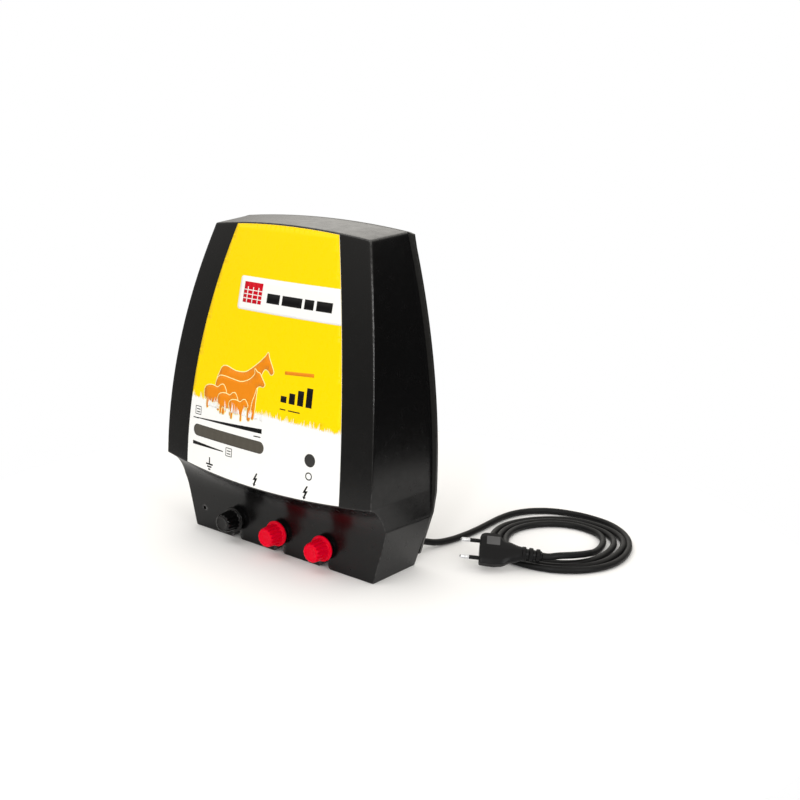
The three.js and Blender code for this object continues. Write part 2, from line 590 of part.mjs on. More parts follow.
const LEAD_ROUTE = [[CORD_X, GLAND_END_Y + GAP, CORD_Z], [CORD_X, 0, CORD_Z - 0.3], [101, 12, 17.6], [103.5, 26, 12.6],
  [107.5, 38.5, 7.8], [112, 50, 4.8], [117, 66, 3.6], [121, 86, 3.5], [123, 108, 3.5], [123.5, 134, 3.5],
  [124.4, 158, 3.5], [128.5, 178, 3.5], [136.5, 194, 3.5], [147.5, 206, 3.5], [158, 213.2, 3.5], [168, 217.4, 3.5]];

// The flat oval band that the turns of the lead fill.
function coil() {
  const profile = [[COIL.inner, COIL.z0], [COIL.outer, COIL.z0], [COIL.outer, COIL.z1], [COIL.inner, COIL.z1],
    [COIL.inner, COIL.z0]].map(([r, z]) => new THREE.Vector2(r, z));
  const ring = new THREE.LatheGeometry(profile, 40).rotateX(Math.PI / 2);
  return solid(ring.scale(COIL.squeeze, 1, 1).translate(COIL.x, COIL.y, 0));
}

// Plug frame: x runs from the face towards the lead, z along the row of pins.
const plugPlace = new THREE.Matrix4().makeTranslation(PLUG.x, PLUG.y, PLUG.z)
  .multiply(new THREE.Matrix4().makeRotationZ(THREE.MathUtils.degToRad(PLUG.turn)))
  .multiply(new THREE.Matrix4().makeRotationY(THREE.MathUtils.degToRad(PLUG.dip)))
  .multiply(new THREE.Matrix4().makeRotationX(THREE.MathUtils.degToRad(PLUG.lean)));
const placePlug = (shape) => shape.transform(plugPlace.elements);

const RELIEF = { x0: 41, x1: 62, ribs: 3 };

function plugBody() {
  // Side view of the body: flat face, straight shoulders, then a waist that narrows to the strain relief.
  const half = PLUG.width / 2;
  const side = new THREE.Shape();
  side.moveTo(0, -half + 2);
  side.quadraticCurveTo(0, -half, 3, -half);
  side.lineTo(19, -half);
  side.bezierCurveTo(28, -half + 1, 32, -8, 42, -5.2);
  side.lineTo(42, 5.2);
  side.bezierCurveTo(32, 8, 28, half - 1, 19, half);
  side.lineTo(3, half);
  side.quadraticCurveTo(0, half, 0, half - 2);
  side.lineTo(1.5, 4);
  side.lineTo(1.5, -4);
  side.closePath();
  const flat = solid(new THREE.ExtrudeGeometry(side, {
    depth: PLUG.thick - 2, bevelEnabled: true, bevelThickness: 1, bevelSize: 1, bevelOffset: -1, bevelSegments: 2,
    curveSegments: 4,
  }).rotateX(Math.PI / 2).translate(0, (PLUG.thick - 2) / 2, 0));
  const profile = [new THREE.Vector2(0, RELIEF.x0 - 2), new THREE.Vector2(5.4, RELIEF.x0 - 2)];
  const pitch = (RELIEF.x1 - RELIEF.x0) / RELIEF.ribs;
  for (let rib = 0; rib < RELIEF.ribs; rib++) {
    const start = RELIEF.x0 + rib * pitch;
    const r = 5.6 - rib * 0.25;
    profile.push(new THREE.Vector2(r, start), new THREE.Vector2(r, start + pitch * 0.6));
    profile.push(new THREE.Vector2(r - 1.2, start + pitch * 0.62), new THREE.Vector2(r - 1.2, start + pitch * 0.98));
  }
  profile.push(new THREE.Vector2(0, RELIEF.x1));
  const relief = solid(new THREE.LatheGeometry(profile, 14).rotateZ(-Math.PI / 2));
  let body = join(flat, relief);
  for (const z of PIN_Z) body = cut(body, rodX(-1, 4, z, SLEEVE_R + GAP));
  return placePlug(body);
}

const PIN_Z = [-9.3, 9.3];
const PIN = { r: 2, tip: -19, root: 3 };
const SLEEVE_R = 1.95;
const SLEEVE_END = -9.5;

function rodX(x0, x1, z, r, sides = 12) {
  return solid(new THREE.CylinderGeometry(r, r, x1 - x0, sides).rotateZ(Math.PI / 2).translate((x0 + x1) / 2, 0, z));
}

// Each pin is a thin shaft with a full-diameter bare end; a sleeve covers its root half.
function plugPin(z) {
  const tip = solid(new THREE.SphereGeometry(PIN.r, 12, 6).scale(0.8, 1, 1).translate(PIN.tip + 1.6, 0, z));
  return placePlug(join(rodX(SLEEVE_END - GAP, PIN.root, z, 1.2), rodX(PIN.tip + 1.6, SLEEVE_END - GAP, z, PIN.r), tip));
}

function pinSleeve(z) {
  return placePlug(cut(rodX(SLEEVE_END, 3.2, z, SLEEVE_R), rodX(SLEEVE_END - 1, 3.1 - GAP + 1, z, 1.2 + GAP)));
}

const plugAxis = (along) => {
  const point = new THREE.Vector3(along, 0, 0).applyMatrix4(plugPlace);
  return [point.x, point.y, point.z];
};
const TAIL_ROUTE = [plugAxis(RELIEF.x1 + GAP), plugAxis(RELIEF.x1 + 7), [238, 80, 13], [243.5, 91.5, 11.6], [246.3, 103, 10.9]];

// ---------------------------------------------------------------- assembly
const energizer = new THREE.Group();
energizer.name = 'fence_energizer';
// The wall plane goes to the back so that the origin is under the middle of the housing.
const standing = new THREE.Group();
standing.position.y = (FACE.depth[0] + BULGE.lip) / 2;
energizer.add(standing);

function add(name, shape, material, parent) {
  const mesh = new THREE.Mesh(geometryOf(shape), material);
  mesh.name = name;
  parent.add(mesh);
}

const housing = new THREE.Group();
standing.add(housing);
add('front_casing', frontCasing(), MATERIALS.housing, housing);
add('rear_plate', rearPlate(), MATERIALS.plate, housing);
add('housing_seal', housingSeal(), MATERIALS.rubber, housing);
add('label_membrane', labelMembrane(), MATERIALS.label, housing);
add('display_window', lens(slabY(stadium(WINDOW.x0, WINDOW.x1, WINDOW.z, WINDOW.r - GAP), -120, FACE_BACK)),
  MATERIALS.smoked, housing);
add('alarm_lens', lens(rodY(LAMP.x, LAMP.z, -120, FACE_BACK, LAMP.r - GAP)), MATERIALS.lampLens, housing);
HOUSING_SCREWS.forEach(({ x, z }, order) => {
  add(`housing_screw_${order + 1}`, screw(x, z, -0.3, -20, 1.75, 3.7, 2.1), MATERIALS.steel, housing);
});

const electronics = new THREE.Group();
standing.add(electronics);
add('display_board', displayBoard(), MATERIALS.board, electronics);
add('led_bar', ledBar(), MATERIALS.ledRed, electronics);
add('alarm_led', alarmLed(), MATERIALS.ledRed, electronics);
add('circuit_board', circuitBoard(), MATERIALS.board, electronics);
STANDOFFS.forEach(({ x, z }, order) => {
  add(`board_screw_${order + 1}`, boardScrew(x, z), MATERIALS.steel, electronics);
});
add('transformer_core', transformerCore(), MATERIALS.core, electronics);
add('transformer_winding', transformerWinding(), MATERIALS.winding, electronics);
add('storage_capacitor_1', component(10, 70, 140, 170, 40, 2), MATERIALS.capacitor, electronics);
add('storage_capacitor_2', component(10, 70, 173, 203, 40, 2), MATERIALS.capacitor, electronics);
add('heat_sink', heatSink(), MATERIALS.aluminium, electronics);
add('thyristor', thyristor(), MATERIALS.component, electronics);
add('mains_fuse', fuseHolder(), MATERIALS.component, electronics);
add('mains_terminal', mainsTerminal(), MATERIALS.terminalBlock, electronics);

TERMINALS.forEach(({ tag, x }, order) => {
  const terminal = new THREE.Group();
  standing.add(terminal);
  add(`stud_${tag}`, stud(x), MATERIALS.steel, terminal);
  add(`stud_nut_${tag}`, cut(hexRod(x, TERMINAL_Z, -59.5, -54.5, 5.8), rodY(x, TERMINAL_Z, -62, -52, STUD_R + 0.4, STUD_R + 0.4, 14)),
    MATERIALS.steel, terminal);
  add(`lead_${tag}`, lead(x, [-60, -8, 8][order]), MATERIALS.rubber, terminal);
  add(`clamp_washer_${tag}`, cut(rodY(x, TERMINAL_Z, WASHER_Y.y0, WASHER_Y.y1, WASHER.r, WASHER.r, 24),
    rodY(x, TERMINAL_Z, -72, -60, STUD_R + 0.5, STUD_R + 0.5, 14)), MATERIALS.steel, terminal);
  add(`knob_${tag}`, knob(x), order === 0 ? MATERIALS.blackKnob : MATERIALS.redKnob, terminal);
  add(`knob_insert_${tag}`, cut(hexRod(x, TERMINAL_Z, INSERT.y0, INSERT.y1, INSERT.r),
    rodY(x, TERMINAL_Z, -90, -60, STUD_R + 0.4, STUD_R + 0.4, 14)), MATERIALS.brass, terminal);
});

const supply = new THREE.Group();
standing.add(supply);
add('cord_gland', gland(), MATERIALS.rubber, supply);
add('inner_cord', bar(INNER_CORD, CORD_R, 8, 16), MATERIALS.rubber, supply);
add('cord_clamp', cordClamp(), MATERIALS.component, supply);
add('mains_cord', bar(LEAD_ROUTE, CORD_R, 8, 22), MATERIALS.rubber, supply);
add('cord_coil', coil(), MATERIALS.rubber, supply);
add('cord_tail', bar(TAIL_ROUTE, CORD_R, 8, 6), MATERIALS.rubber, supply);
add('plug_body', plugBody(), MATERIALS.rubber, supply);
PIN_Z.forEach((z, order) => {
  add(`plug_pin_${order + 1}`, plugPin(z), MATERIALS.steel, supply);
  add(`pin_sleeve_${order + 1}`, pinSleeve(z), MATERIALS.sleeve, supply);
});

export default energizer;
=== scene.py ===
"""Looks of a wall-mounted mains fence energizer, built around its CAD frame.

Lengths in this file are in millimetres, with Y measured from the wall plane, until at() turns them into metres.
"""
import json
import math
import random

import bmesh
import bpy
from mathutils import Matrix, Vector
from mathutils.geometry import delaunay_2d_cdt


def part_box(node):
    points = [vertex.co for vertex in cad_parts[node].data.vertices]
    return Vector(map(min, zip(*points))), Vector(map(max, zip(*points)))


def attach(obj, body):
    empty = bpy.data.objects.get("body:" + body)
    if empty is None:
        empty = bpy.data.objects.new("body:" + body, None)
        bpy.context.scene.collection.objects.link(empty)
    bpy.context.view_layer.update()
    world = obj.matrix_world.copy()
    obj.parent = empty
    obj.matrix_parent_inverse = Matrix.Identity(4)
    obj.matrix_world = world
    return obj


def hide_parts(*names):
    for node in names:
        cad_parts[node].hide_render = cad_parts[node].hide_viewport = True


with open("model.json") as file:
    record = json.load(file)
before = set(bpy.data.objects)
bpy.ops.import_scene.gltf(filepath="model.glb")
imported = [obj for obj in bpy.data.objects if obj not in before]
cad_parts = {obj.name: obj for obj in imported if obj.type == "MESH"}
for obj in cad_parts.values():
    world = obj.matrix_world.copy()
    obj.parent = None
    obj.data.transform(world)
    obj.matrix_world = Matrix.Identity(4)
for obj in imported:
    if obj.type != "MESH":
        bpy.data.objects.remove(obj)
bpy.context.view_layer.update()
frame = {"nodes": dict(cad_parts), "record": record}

MM = 0.001
WALL_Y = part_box("rear_plate")[1].y      # the wall plane in the row frame, in metres
SKY_LOW, SKY_HIGH = 0.42, 1.2          # the sky's strength at the horizon and overhead


def at(x, y, z):
    return Vector((x * MM, y * MM + WALL_Y, z * MM))


def mix(start, end, share):
    return start + (end - start) * share


def shown(name, data):
    obj = bpy.data.objects.new(name, data)
    bpy.context.scene.collection.objects.link(obj)
    return obj


# ---- camera and light
def place_camera():
    data = bpy.data.cameras.new("camera")
    data.lens = 48.56
    data.sensor_width = 36
    camera = shown("camera", data)
    azimuth, elevation, roll = (math.radians(angle) for angle in (35.775, 14.802, 1.855))
    back = Vector((math.sin(azimuth) * math.cos(elevation), -math.cos(azimuth) * math.cos(elevation),
                   math.sin(elevation)))
    right = (-back).cross(Vector((0, 0, 1))).normalized()
    up = right.cross(-back)
    rolled_right = math.cos(roll) * right + math.sin(roll) * up
    rolled_up = math.cos(roll) * up - math.sin(roll) * right
    turn = Matrix((rolled_right, rolled_up, back)).transposed().to_4x4()
    camera.matrix_world = Matrix.Translation(at(683.12, -815.77, 428.65)) @ turn
    bpy.context.scene.camera = camera


def area_light(name, place, aim, size, watts):
    data = bpy.data.lights.new(name, "AREA")
    data.shape = "RECTANGLE"
    data.size, data.size_y = size
    data.energy = watts
    light = shown(name, data)
    light.location = place
    light.rotation_euler = (Vector(aim) - Vector(place)).to_track_quat("-Z", "Y").to_euler()


def fill(tree, value, socket):
    """Gives an input a plain value or another node's output."""
    if hasattr(value, "links"):
        tree.links.new(value, socket)
    elif hasattr(value, "__len__") and len(value) < len(socket.default_value):
        socket.default_value = (*value, 1)
    else:
        socket.default_value = value


def add_node(tree, kind, inputs=None, **settings):
    node = tree.nodes.new("ShaderNode" + kind)
    for name, value in settings.items():
        setattr(node, name, value)
    for key, value in (inputs or {}).items():
        fill(tree, value, node.inputs[key])
    return node


def add_ramp(tree, value, low, high, start, end, **settings):
    inputs = {"Value": value, "From Min": low, "From Max": high, "To Min": start, "To Max": end}
    return add_node(tree, "MapRange", inputs, **settings).outputs[0]


def add_maths(tree, operation, first, second):
    return add_node(tree, "Math", {0: first, 1: second}, operation=operation).outputs[0]


def studio():
    """A soft sky, dimmer near the horizon and dark behind on the right, with softboxes in front and beside."""
    world = bpy.data.worlds.new("studio")
    bpy.context.scene.world = world
    world.use_nodes = True
    tree = world.node_tree
    tree.nodes.clear()
    toward = add_node(tree, "TexCoord").outputs["Generated"]
    height = add_node(tree, "SeparateXYZ", {0: toward}).outputs["Z"]

    def ramp(value, low, high, dim, bright):
        return add_ramp(tree, value, low, high, dim, bright, interpolation_type="SMOOTHSTEP")

    def near(direction, outer, inner, away, at_middle):
        """A value that changes from away to at_middle as the ray turns towards a direction."""
        turned = add_node(tree, "VectorMath", {0: toward, 1: direction}, operation="DOT_PRODUCT")
        return ramp(turned.outputs["Value"], outer, inner, away, at_middle)

    def times(first, second):
        return add_maths(tree, "MULTIPLY", first, second)

    sky = ramp(height, 0.02, 0.6, SKY_LOW, SKY_HIGH)
    unlit = times(near((0.78, 0.62, 0), 0.3, 0.8, 0, 0.93), ramp(height, 0.25, 0.6, 1, 0))
    glow = near((-0.62, 0.73, 0.29), 0.965, 0.9985, 1, 2.15)
    strength = times(times(sky, add_maths(tree, "SUBTRACT", 1, unlit)), glow)
    sky_light = add_node(tree, "Background", {"Color": (1, 0.97, 0.91), "Strength": strength}).outputs[0]
    white = add_node(tree, "Background", {"Color": (1, 1, 1)}).outputs[0]
    seen = add_node(tree, "LightPath").outputs["Is Camera Ray"]
    choose = add_node(tree, "MixShader", {0: seen, 1: sky_light, 2: white}).outputs[0]
    add_node(tree, "OutputWorld", {0: choose})
    area_light("overhead", (-0.6, -1.2, 2.4), (0, 0, 0.1), (1.6, 1.6), 10)
    area_light("strip", (1.25, -2.7, 1.1), (0, 0, 0.15), (0.22, 1.6), 21)
    area_light("side", (2.7, -0.72, 0.95), (0, 0, 0.15), (0.3, 1.3), 18)
    bpy.context.scene.view_settings.view_transform = "Standard"


# ---- materials
class Shader:
    """A Principled material and short ways to add its nodes. Sizes are in millimetres."""

    def __init__(self, name):
        self.material = bpy.data.materials.new(name)
        self.material.use_nodes = True
        self.tree = self.material.node_tree
        self.main = self.tree.nodes["Principled BSDF"]
        self.place = self.add("TexCoord").outputs["Object"]

    def add(self, kind, inputs=None, **settings):
        return add_node(self.tree, kind, inputs, **settings)

    def set(self, **values):
        for name, value in values.items():
            fill(self.tree, value, self.main.inputs[name.replace("_", " ").title().replace("Ior", "IOR")])

    def noise(self, size, detail, rough, stretch=None):
        place = self.place
        if stretch:
            place = self.add("Mapping", {"Vector": place, "Scale": stretch}).outputs[0]
        inputs = {"Scale": 1 / (size * MM), "Detail": detail, "Roughness": rough, "Vector": place}
        return self.add("TexNoise", inputs).outputs["Fac"]

    def cells(self, size, feature="F1"):
        inputs = {"Scale": 1 / (size * MM), "Vector": self.place}
        return self.add("TexVoronoi", inputs, feature=feature).outputs["Distance"]

    def waves(self, size, axis, bend=0.0):
        inputs = {"Scale": 0.32 / (size * MM), "Distortion": bend, "Detail": 2, "Vector": self.place}
        return self.add("TexWave", inputs, bands_direction=axis).outputs["Fac"]

    def ramp(self, value, low, high, start, end):
        return add_ramp(self.tree, value, low, high, start, end)

    def math(self, operation, first, second):
        return add_maths(self.tree, operation, first, second)

    def blend(self, share, first, second):
        return self.add("Mix", {"Factor": share, 6: first, 7: second}, data_type="RGBA").outputs[2]

    def edges(self, low=0.52, high=0.6):
        """One along convex edges, nought elsewhere, broken up by noise."""
        edge = self.ramp(self.add("NewGeometry").outputs["Pointiness"], low, high, 0, 1)
        broken = self.ramp(self.noise(3, 5, 0.7), 0.4, 0.62, 0.15, 1)
        return self.math("MULTIPLY", edge, broken)

    def bumps(self, *layers):
        """Each layer is (height value, depth)."""
        normal = None
        for height, depth in layers:
            inputs = {"Strength": 1, "Distance": depth * MM, "Height": height}
            if normal:
                inputs["Normal"] = normal
            normal = self.add("Bump", inputs).outputs["Normal"]
        self.set(normal=normal)


def tint(colour, factor):
    return tuple(min(1, channel * factor) for channel in colour)


def moulded(name, colour, rough, spread=0.2, grain=0.35, grain_depth=0.0015, ripple=0.012, wear_and_highlight=0.5,
            shine=0, ior=1.5):
    """Injection-moulded plastic: faint flow mottling, a fine grain, slightly wavy gloss, polished edges, and a lighter
    colour along convex edges that is partly wear and partly painted highlight.
    """
    s = Shader(name)
    patches = s.noise(28, 4, 0.6)
    # Convex edges are painted lighter: partly wear, partly a painted highlight line along each edge.
    edge_wear_and_highlight = s.math("MULTIPLY", s.edges(), wear_and_highlight)
    colours = s.blend(patches, tint(colour, 1 - spread), tint(colour, 1 + spread))
    wear_and_highlight_colour = tuple(min(1, channel * 1.5 + 0.012) for channel in colour)
    scratches = s.ramp(s.noise(1.6, 6, 0.75, (1, 1, 0.08)), 0.62, 0.75, 0, 0.25)
    gloss = s.ramp(s.noise(9, 5, 0.65), 0.3, 0.75, rough * 0.8, rough * 1.25)
    s.set(base_color=s.blend(edge_wear_and_highlight, colours, wear_and_highlight_colour),
          roughness=s.math("ADD", gloss, s.math("MULTIPLY", scratches, 0.22)),
          ior=ior, coat_weight=s.math("MULTIPLY", s.edges(0.51, 0.56), shine) if shine else 0,
          coat_ior=2.3, coat_roughness=0.07)
    s.bumps((s.noise(14, 2, 0.4), ripple), (s.noise(grain, 2, 0.6), grain_depth))
    return s.material


def printed(name, colour, rough=0.3, spread=0.012):
    """Printing ink on a film: even colour with a faint screen grain."""
    s = Shader(name)
    film = s.noise(40, 3, 0.5)
    specks = s.ramp(s.noise(0.5, 3, 0.6), 0.62, 0.8, 0, 0.08)
    colours = s.blend(film, tint(colour, 1 - spread), tint(colour, 1 + spread))
    s.set(base_color=s.blend(specks, colours, tint(colour, 0.9)),
          roughness=s.ramp(s.noise(6, 4, 0.6), 0.3, 0.7, rough * 0.85, rough * 1.2), ior=1.3,
          specular_ior_level=0.25)
    s.bumps((s.noise(22, 2, 0.4), 0.004), (s.noise(0.7, 2, 0.5), 0.0005))
    return s.material


def metal(name, colour, rough, brush=(1, 1, 1), grain=0.25, tarnish=0.25):
    """Bare metal with fine tool marks, duller patches and brighter edges."""
    s = Shader(name)
    marks = s.noise(grain, 4, 0.7, brush)
    stain = s.ramp(s.noise(5, 5, 0.65), 0.45, 0.75, 0, tarnish)
    colours = s.blend(s.edges(), s.blend(stain, colour, tint(colour, 0.55)), tint(colour, 1.25))
    s.set(base_color=colours, metallic=1.0,
          roughness=s.math("ADD", s.ramp(marks, 0.3, 0.7, rough * 0.75, rough * 1.25),
                           s.math("MULTIPLY", stain, 0.3)))
    s.bumps((marks, 0.004))
    return s.material


def glowing_red_plastic(name):
    """The signal-red plastic of the fence knobs, slightly clear at its edges, with a lighter red along its edges that
    is partly wear and partly painted highlight.
    """
    s = Shader(name)
    # Lighter red along convex edges: partly wear, partly a painted highlight where the rims catch light.
    edge_wear_and_highlight = s.math("MULTIPLY", s.edges(0.53, 0.63), 0.5)
    reds = s.blend(s.noise(8, 4, 0.6), (0.62, 0.0002, 0.014), (0.75, 0.0004, 0.022))
    s.set(base_color=s.blend(edge_wear_and_highlight, reds, (0.95, 0.01, 0.05)),
          roughness=s.ramp(s.noise(3, 4, 0.6), 0.3, 0.75, 0.2, 0.34), ior=1.3, specular_ior_level=0.15,
          subsurface_weight=0.35, subsurface_radius=(2.2 * MM, 0.1 * MM, 0.15 * MM), subsurface_scale=1.0)
    s.bumps((s.noise(5, 2, 0.5), 0.012), (s.noise(0.5, 2, 0.6), 0.0015))
    return s.material


def smoked_window(name, colour):
    """A tinted window, cloudy where the display behind it scatters light."""
    s = Shader(name)
    segments = s.ramp(s.waves(9.3, "X"), 0.35, 0.65, 0, 0.16)
    cloudy = s.blend(s.noise(5, 5, 0.7), tint(colour, 0.86), tint(colour, 1.14))
    s.set(base_color=s.blend(segments, cloudy, tint(colour, 0.7)),
          roughness=s.ramp(s.noise(4, 4, 0.6), 0.3, 0.7, 0.1, 0.2), ior=1.49, coat_weight=0.3,
          coat_roughness=0.05)
    s.bumps((s.noise(10, 2, 0.4), 0.01))
    return s.material


def rubber(name, colour, rough):
    """Satin PVC, with a faint draw grain and dust in its surface."""
    s = Shader(name)
    dust = s.ramp(s.noise(7, 6, 0.7), 0.5, 0.8, 0, 0.16)
    colours = s.blend(s.noise(30, 3, 0.5), tint(colour, 0.85), tint(colour, 1.15))
    s.set(base_color=s.blend(dust, colours, tuple(c * 1.5 + 0.003 for c in colour)),
          roughness=s.ramp(s.noise(2.5, 5, 0.7), 0.3, 0.75, rough * 0.82, rough * 1.2), ior=1.27,
          sheen_weight=0.01, sheen_roughness=0.4)
    s.bumps((s.noise(1.2, 4, 0.6), 0.006), (s.noise(0.25, 2, 0.6), 0.002))
    return s.material


def circuit_board(name):
    s = Shader(name)
    tracks = s.ramp(s.cells(4.5, "DISTANCE_TO_EDGE"), 0.05, 0.11, 1, 0)
    pads = s.ramp(s.cells(3.2), 0.12, 0.2, 1, 0)
    green = s.blend(s.noise(15, 3, 0.5), (0.008, 0.09, 0.03), (0.015, 0.13, 0.045))
    s.set(base_color=s.blend(pads, s.blend(tracks, green, (0.03, 0.2, 0.07)), (0.62, 0.6, 0.55)),
          metallic=s.math("MULTIPLY", pads, 0.9), roughness=s.ramp(s.noise(2, 3, 0.6), 0.3, 0.7, 0.28, 0.45))
    s.bumps((tracks, 0.03), (pads, 0.05))
    return s.material


def layered(name, first, second, size, axis, rough, metallic, depth=0.1):
    """Stacked sheets or wound wire: fine bands along one axis."""
    s = Shader(name)
    bands = s.waves(size, axis, 0.6)
    stain = s.ramp(s.noise(8, 5, 0.7), 0.4, 0.75, 0, 0.4)
    s.set(base_color=s.blend(stain, s.blend(bands, first, second), tint(first, 0.6)), metallic=metallic,
          roughness=s.ramp(bands, 0, 1, rough * 1.2, rough * 0.8))
    s.bumps((bands, depth), (s.noise(0.6, 3, 0.6), 0.01))
    return s.material


BLACK = (0.003, 0.003, 0.0032)
LOOKS = {
    "housing": moulded("black_gloss_housing", BLACK, 0.24, shine=1, ior=1.33),
    "plate": moulded("black_satin_plate", (0.016, 0.0155, 0.0145), 0.34, grain_depth=0.004),
    "label": printed("label_white", (0.88, 0.885, 0.88)),
    "smoked_window": smoked_window("smoked_display_window", (0.072, 0.064, 0.05)),
    "lamp_lens": smoked_window("smoked_lamp_lens", (0.028, 0.0275, 0.027)),
    "black_knob": moulded("black_knob_plastic", (0.002, 0.002, 0.0022), 0.2, grain=0.5, wear_and_highlight=0.8, ior=1.34),
    "red_knob": glowing_red_plastic("red_knob_plastic"),
    "steel": metal("zinc_plated_steel", (0.62, 0.63, 0.65), 0.26),
    "brass": metal("brass_insert", (0.72, 0.5, 0.19), 0.3),
    "aluminium": metal("extruded_aluminium", (0.66, 0.68, 0.7), 0.42, (1, 1, 0.05)),
    "core": layered("core_laminations", (0.16, 0.165, 0.175), (0.05, 0.05, 0.055), 0.5, "Y", 0.5, 0.8),
    "winding": layered("enamelled_winding", (0.42, 0.13, 0.035), (0.2, 0.05, 0.015), 0.8, "Z", 0.35, 0.3, 0.3),
    "capacitor": moulded("capacitor_case", (0.02, 0.07, 0.25), 0.3, wear_and_highlight=0.3),
    "board": circuit_board("circuit_board_green"),
    "component": moulded("component_black", (0.012, 0.012, 0.013), 0.42, grain=0.2, grain_depth=0.006),
    "led": glowing_red_plastic("led_red"),
    "terminal_block": moulded("terminal_block_green", (0.07, 0.2, 0.08), 0.4),
    "rubber": rubber("black_cord_rubber", (0.0035, 0.0035, 0.0038), 0.44),
    "plug": rubber("black_plug_rubber", (0.0012, 0.0012, 0.0018), 0.34),
}
YELLOW_INK = printed("ink_yellow", (0.98, 0.67, 0.0), 0.28, 0.008)
WHITE_INK = printed("ink_white", (0.88, 0.885, 0.88))
ORANGE_INK = printed("ink_orange", (0.78, 0.24, 0.008))
CREAM_INK = printed("ink_cream", (1.0, 0.9, 0.42))
RED_INK = printed("ink_red", (0.56, 0.001, 0.012))
BLACK_INK = printed("ink_black", (0.004, 0.004, 0.0045), 0.45)
GRIP = rubber("grey_grip_rubber", (0.078, 0.078, 0.08), 0.6)


def dress_frame():
    """Every CAD node gets the look of its material slot, and a small bevel that catches light."""
    for part in frame["record"]["subparts"]:
        obj = frame["nodes"][part["node"]]
        obj.data.materials.clear()
        obj.data.materials.append(LOOKS[part["material_slot"]])
        edge_bevel(obj, 0.18, 2, 40, False)


# ---- mesh building
def shade(mesh, smooth=32):
    """Smooth shading, but for edges sharper than an angle in degrees."""
    for polygon in mesh.polygons:
        polygon.use_smooth = True
    mesh.set_sharp_from_angle(angle=math.radians(smooth))


def mesh_object(name, bm, turn=True):
    """Closes a bmesh into an object, with its faces turned outwards."""
    if turn:
        bmesh.ops.recalc_face_normals(bm, faces=bm.faces)
    mesh = bpy.data.meshes.new(name)
    bm.to_mesh(mesh)
    bm.free()
    return shown(name, mesh)


def publish(name, bm, slot, look=None, smooth=32, body="housing", turn=True):
    """A piece that rides on a body and wears a material slot's look."""
    obj = mesh_object(name, bm, turn)
    obj.data.materials.append(look or LOOKS[slot])
    shade(obj.data, smooth)
    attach(obj, body)
    return obj


def settle(obj):
    """Turns an object's modifiers into its mesh."""
    graph = bpy.context.evaluated_depsgraph_get()
    mesh = bpy.data.meshes.new_from_object(obj.evaluated_get(graph))
    obj.modifiers.clear()
    obj.data = mesh
    shade(mesh)


def carve(obj, operation, *tools):
    """Joins or cuts with one tool mesh after another."""
    for bm in tools:
        tool = mesh_object("tool", bm)
        change = obj.modifiers.new("carve", "BOOLEAN")
        change.object = tool
        change.operation = operation
        change.solver = "EXACT"
        settle(obj)
        bpy.data.objects.remove(tool)


def edge_bevel(obj, width, segments=3, angle=35, harden=True):
    edge = obj.modifiers.new("edge", "BEVEL")
    edge.width = width * MM
    edge.segments = segments
    edge.limit_method = "ANGLE"
    edge.angle_limit = math.radians(angle)
    edge.harden_normals = harden


def thicken(obj, thickness):
    body = obj.modifiers.new("body", "SOLIDIFY")
    body.thickness = thickness * MM
    body.offset = -1


def add_box(bm, x0, x1, y0, y1, z0, z1):
    corners = [bm.verts.new(at(x, y, z)) for x in (x0, x1) for y in (y0, y1) for z in (z0, z1)]
    for a, b, c, d in ((0, 1, 3, 2), (4, 6, 7, 5), (0, 4, 5, 1), (2, 3, 7, 6), (0, 2, 6, 4), (1, 5, 7, 3)):
        bm.faces.new([corners[k] for k in (a, b, c, d)])
    return bm


def add_slab(bm, outline, y0, y1, end_outline=None):
    """An outline in X and Z pushed along Y, to the same outline or to another."""
    front = [bm.verts.new(at(x, y0, z)) for x, z in outline]
    rear = [bm.verts.new(at(x, y1, z)) for x, z in end_outline or outline]
    bm.faces.new(front)
    bm.faces.new(rear[::-1])
    for k in range(len(outline)):
        j = (k + 1) % len(outline)
        bm.faces.new((front[k], rear[k], rear[j], front[j]))
    return bm


def circle(x, z, radius, count=48, start=0.0, end=360.0):
    full = end - start >= 360
    steps = count if full else count + 1
    angles = [math.radians(mix(start, end, k / count)) for k in range(steps)]
    return [(x + radius * math.cos(a), z + radius * math.sin(a)) for a in angles]


def add_rod(bm, x, z, y0, y1, radius, count=32, end_radius=None):
    return add_slab(bm, circle(x, z, radius, count), y0, y1, circle(x, z, end_radius or radius, count))


def join_rings(bm, a, b, count):
    """Faces between two closed rings of vertices, where a ring of one vertex is a tip."""
    for k in range(count):
        j = (k + 1) % count
        corners = [a[k % len(a)], a[j % len(a)], b[j % len(b)], b[k % len(b)]]
        unique = list(dict.fromkeys(corners))
        if len(unique) > 2:
            bm.faces.new(unique)


def add_lathe(bm, profile, place, count=64, ripple=None, closed=False):
    """Turns (along, radius) points about the place's X axis; ripple(angle, along) adds to the radius."""
    rings = []
    for along, radius in profile:
        ring = []
        for k in range(count if radius else 1):
            angle = 2 * math.pi * k / count
            r = radius + (ripple(angle, along) if ripple and radius else 0)
            ring.append(bm.verts.new(place @ Vector((along, r * math.cos(angle), r * math.sin(angle)))))
        rings.append(ring)
    for a, b in zip(rings, rings[1:] + rings[:closed]):
        join_rings(bm, a, b, count)
    return bm


def facing(x, y, z, degrees):
    """Frame of a lathe, in millimetres: its axis is the X axis turned in the ground plane."""
    return Matrix.Translation(at(x, y, z)) @ Matrix.Rotation(math.radians(degrees), 4, "Z") @ Matrix.Scale(MM, 4)


